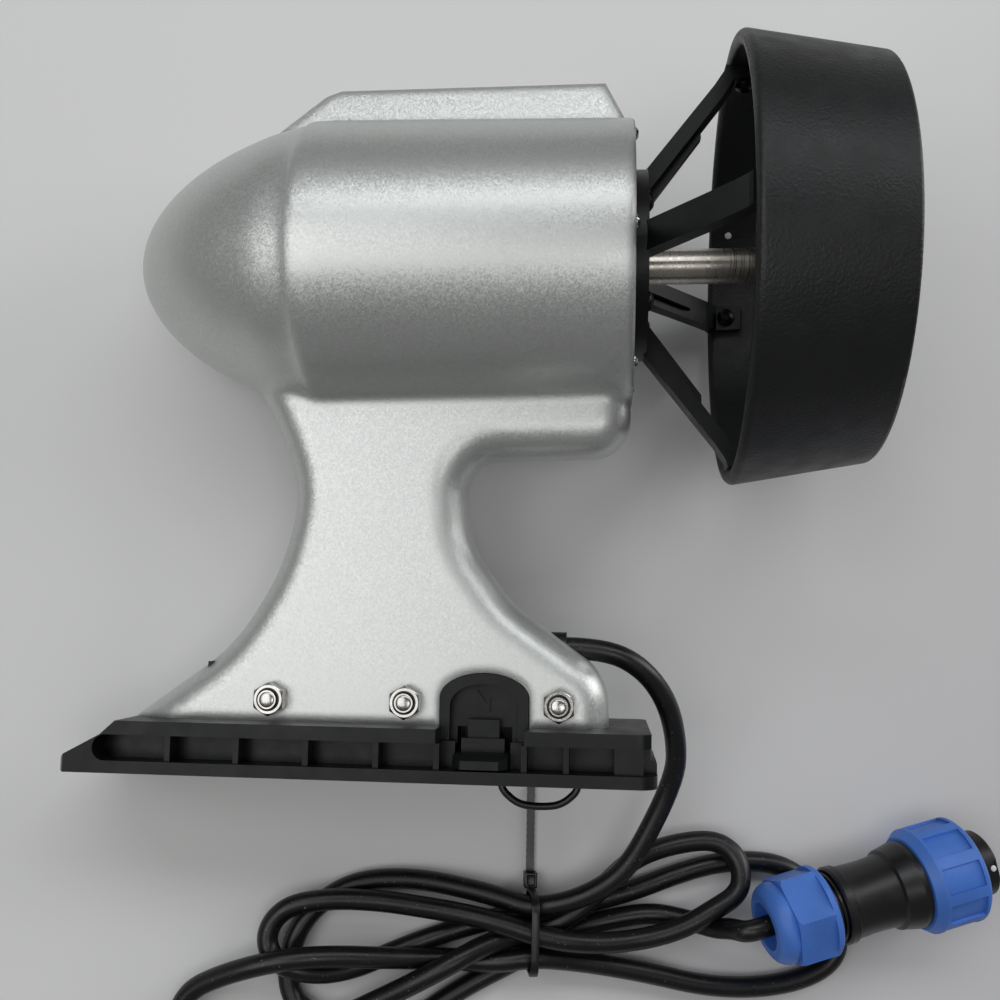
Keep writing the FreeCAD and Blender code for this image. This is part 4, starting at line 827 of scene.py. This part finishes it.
@dataclass
class NutTrim:
    """What shows on the three lock nuts: a black ring of painted shade in the gap round the bolt, and the bolt's
    rounded end.

    Sizes and places are in millimetres along the thruster's own axes.
    """

    bolt_along: tuple[float, ...] = (-98.0, -60.6, -19.2)
    bolt_keelward: float = -124.2
    nut_face: float = 16.0
    bolt_tip: float = 16.9
    ring_middle: float = 2.85
    ring_half: float = 0.33
    end_radius: float = 2.1
    end_height: float = 0.45

    def build(self, wardrobe: Wardrobe, axes: ThrusterAxes) -> None:
        """Model the trim of every nut.

        Args:
            wardrobe: where the finishes come from.
            axes: the thruster's directions.
        """
        outward = facing(axes.nearward)
        flatten = Matrix.Diagonal((1, 1, self.end_height / self.end_radius, 1))
        for number, along in enumerate(self.bolt_along, start=1):
            face = Matrix.Translation(axes.place(along, self.bolt_keelward, self.nut_face))
            tip = Matrix.Translation(axes.place(along, self.bolt_keelward, self.bolt_tip))
            # painted shade: a black torus at the nut's face stands for the shade in the gap round the bolt
            deselect()
            bpy.ops.mesh.primitive_torus_add(major_segments=48, minor_segments=12,
                                             major_radius=self.ring_middle * MILLIMETRE,
                                             minor_radius=self.ring_half * MILLIMETRE)
            ring = bpy.context.object
            ring.matrix_world = face @ outward
            wardrobe.dress(finished(ring, f"nut_gap_shade_ring_{number}"), "tie_black", "thruster")
            deselect()
            bpy.ops.mesh.primitive_uv_sphere_add(segments=32, ring_count=16,
                                                 radius=self.end_radius * MILLIMETRE)
            end = bpy.context.object
            end.matrix_world = tip @ outward @ flatten
            wardrobe.dress(finished(end, f"bolt_end_{number}"), "stainless", "thruster")


@dataclass
class MoulderDots:
    """The two small white dots: one on the plug's nose, one inside the duct."""

    plug_dot_radius: float = 0.0009
    plug_dot_ahead: float = 0.0132
    plug_nose_radius: float = 0.00985
    flatness: float = 0.3
    duct_dot_radius: float = 0.0011
    duct_dot_place: Place = (0.0816, 0.0748, 0.0150)
    duct_dot_normal: Place = (-0.326, -0.499, 0.803)

    def build(self) -> None:
        """Model both dots as shallow domes."""
        white = Moulding("dot_white", (0.75, 0.75, 0.73), 0.5).material()
        flatten = Matrix.Diagonal((1, 1, self.flatness, 1))
        for name, place, normal, radius in self.places():
            deselect()
            bpy.ops.mesh.primitive_uv_sphere_add(segments=20, ring_count=10, radius=radius)
            dot = bpy.context.object
            dot.matrix_world = Matrix.Translation(place) @ facing(normal) @ flatten
            dot = finished(dot, name)
            dot.data.materials.append(white)
            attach(dot, "thruster")
            log.info("%s modelled", name)

    def places(self) -> list[tuple[str, Vector, Vector, float]]:
        """List the dots.

        Returns:
            Name, place, direction and radius of each dot.
        """
        joints = {joint["name"]: joint for joint in frame["joints"]}
        along = Vector(joints["ring_spin"]["axis"]).normalized()
        middle = Vector(joints["ring_spin"]["pos_m"])
        side = Vector((0, 0, 1)).cross(along).normalized()
        top = along.cross(side)
        on_nose = middle + along * self.plug_dot_ahead + top * self.plug_nose_radius
        return [("plug_dot", on_nose, top, self.plug_dot_radius),
                ("duct_dot", Vector(self.duct_dot_place), Vector(self.duct_dot_normal), self.duct_dot_radius)]


class Plug:
    """The pieces of the round plug, all solids of the construction model."""

    pieces = ["gland_nut", "gland_seal", "plug_body", "coupling_ring", "plug_o_ring", "plug_nose",
              "plug_contacts"]


@dataclass(frozen=True)
class Lamp:
    """A soft rectangular lamp that looks at the thruster."""

    name: str
    place: Place
    size: tuple[float, float]
    power: float
    colour: Colour = (1.0, 1.0, 1.0)
    target: Place = (0.0, 0.0, 0.05)

    def build(self) -> None:
        """Hang the lamp and turn it to its target."""
        light = bpy.data.lights.new(self.name, "AREA")
        light.shape = "RECTANGLE"
        light.size, light.size_y = self.size
        light.energy = self.power
        light.color = self.colour
        lamp = bpy.data.objects.new(self.name, light)
        bpy.context.scene.collection.objects.link(lamp)
        lamp.location = self.place
        lamp.rotation_euler = (Vector(self.place) - Vector(self.target)).to_track_quat("Z", "Y").to_euler()
        log.info("lamp %s", self.name)


@dataclass
class Studio:
    """Table, lamps, surrounding light and camera."""

    table_half: float = 3.0
    table_colour: Colour = (0.72, 0.72, 0.715)
    # painted shade: the colour that the table darkens to towards the lower right of the picture
    table_painted_shade: Colour = (0.56, 0.555, 0.565)
    table_roughness: float = 0.75
    table_gloss: float = 0.2
    fade_slant: float = -1.3
    fade_start: float = -0.34
    fade_end: float = 0.0
    surround: Colour = (0.62, 0.62, 0.62)
    surround_strength: float = 0.26
    camera_place: Place = (-0.020438, -0.072114, 0.351162)
    camera_turn: Place = (9.0933, -4.8823, 1.2979)
    lens: float = 38.988
    lamps: tuple[Lamp, ...] = (
        Lamp("keelward_window", (0.0, 0.74, 1.05), (1.6, 0.36), 5.2, (0.96, 0.98, 1.0)),
        Lamp("ceiling", (-0.86, -0.05, 1.35), (1.1, 0.95), 6.8),
        Lamp("by_the_camera", (0.08, -0.22, 0.95), (0.35, 0.30), 0.9),
        Lamp("right_wall", (1.05, 0.42, 0.42), (0.5, 0.9), 5.0),
    )

    def build(self) -> None:
        """Set up the whole studio."""
        self.table()
        self.world()
        for lamp in self.lamps:
            lamp.build()
        self.camera()
        bpy.context.scene.view_settings.view_transform = "Standard"

    def table(self) -> None:
        """The matt pale table, with painted shade that darkens it towards the lower right of the picture."""
        deselect()
        bpy.ops.mesh.primitive_grid_add(x_subdivisions=8, y_subdivisions=8, size=2 * self.table_half)
        top = finished(bpy.context.object, "table_top")
        board = NodeBoard("table_paper")
        board.set(Roughness=self.table_roughness, Specular_IOR_Level=self.table_gloss)
        parts = board.add("ShaderNodeSeparateXYZ")
        board.join(board.place, parts.inputs["Vector"])
        # painted shade: along this slope the table's colour is mixed towards the darker one, towards the lower
        # right of the picture
        slope = board.tree.nodes.new("ShaderNodeMath")
        slope.operation = "MULTIPLY_ADD"
        slope.inputs[1].default_value = self.fade_slant
        board.join(parts.outputs["X"], slope.inputs[0])
        board.join(parts.outputs["Y"], slope.inputs[2])
        share = board.ramp(slope.outputs["Value"], self.fade_start, self.fade_end, 1.0, 0.0)
        board.join(board.blend(share, self.table_colour, self.table_painted_shade), board.shader.inputs["Base Color"])
        top.data.materials.append(board.material)
        log.info("table set")

    def world(self) -> None:
        """Even pale light from all round."""
        world = bpy.data.worlds.new("studio_air")
        world.use_nodes = True
        air = world.node_tree.nodes["Background"]
        air.inputs["Color"].default_value = (*self.surround, 1)
        air.inputs["Strength"].default_value = self.surround_strength
        bpy.context.scene.world = world

    def camera(self) -> None:
        """The camera at the photograph's place."""
        view = bpy.data.cameras.new("camera")
        view.lens = self.lens
        view.clip_start = 0.01
        camera = bpy.data.objects.new("camera", view)
        bpy.context.scene.collection.objects.link(camera)
        camera.location = self.camera_place
        camera.rotation_euler = Euler([math.radians(a) for a in self.camera_turn], "XYZ")
        bpy.context.scene.camera = camera
        log.info("camera set")


def main() -> None:
    """Build the scene."""
    wardrobe = Wardrobe()
    axes = ThrusterAxes()
    studio = Studio()
    studio.build()
    wardrobe.dress_solids()
    cable = Cable()
    cord = cable.build(wardrobe)
    tie = CableTie().build(wardrobe)
    LatchSpring().build(wardrobe, axes)
    NutTrim().build(wardrobe, axes)
    MoulderDots().build()


if __name__ == "__main__":
    main()
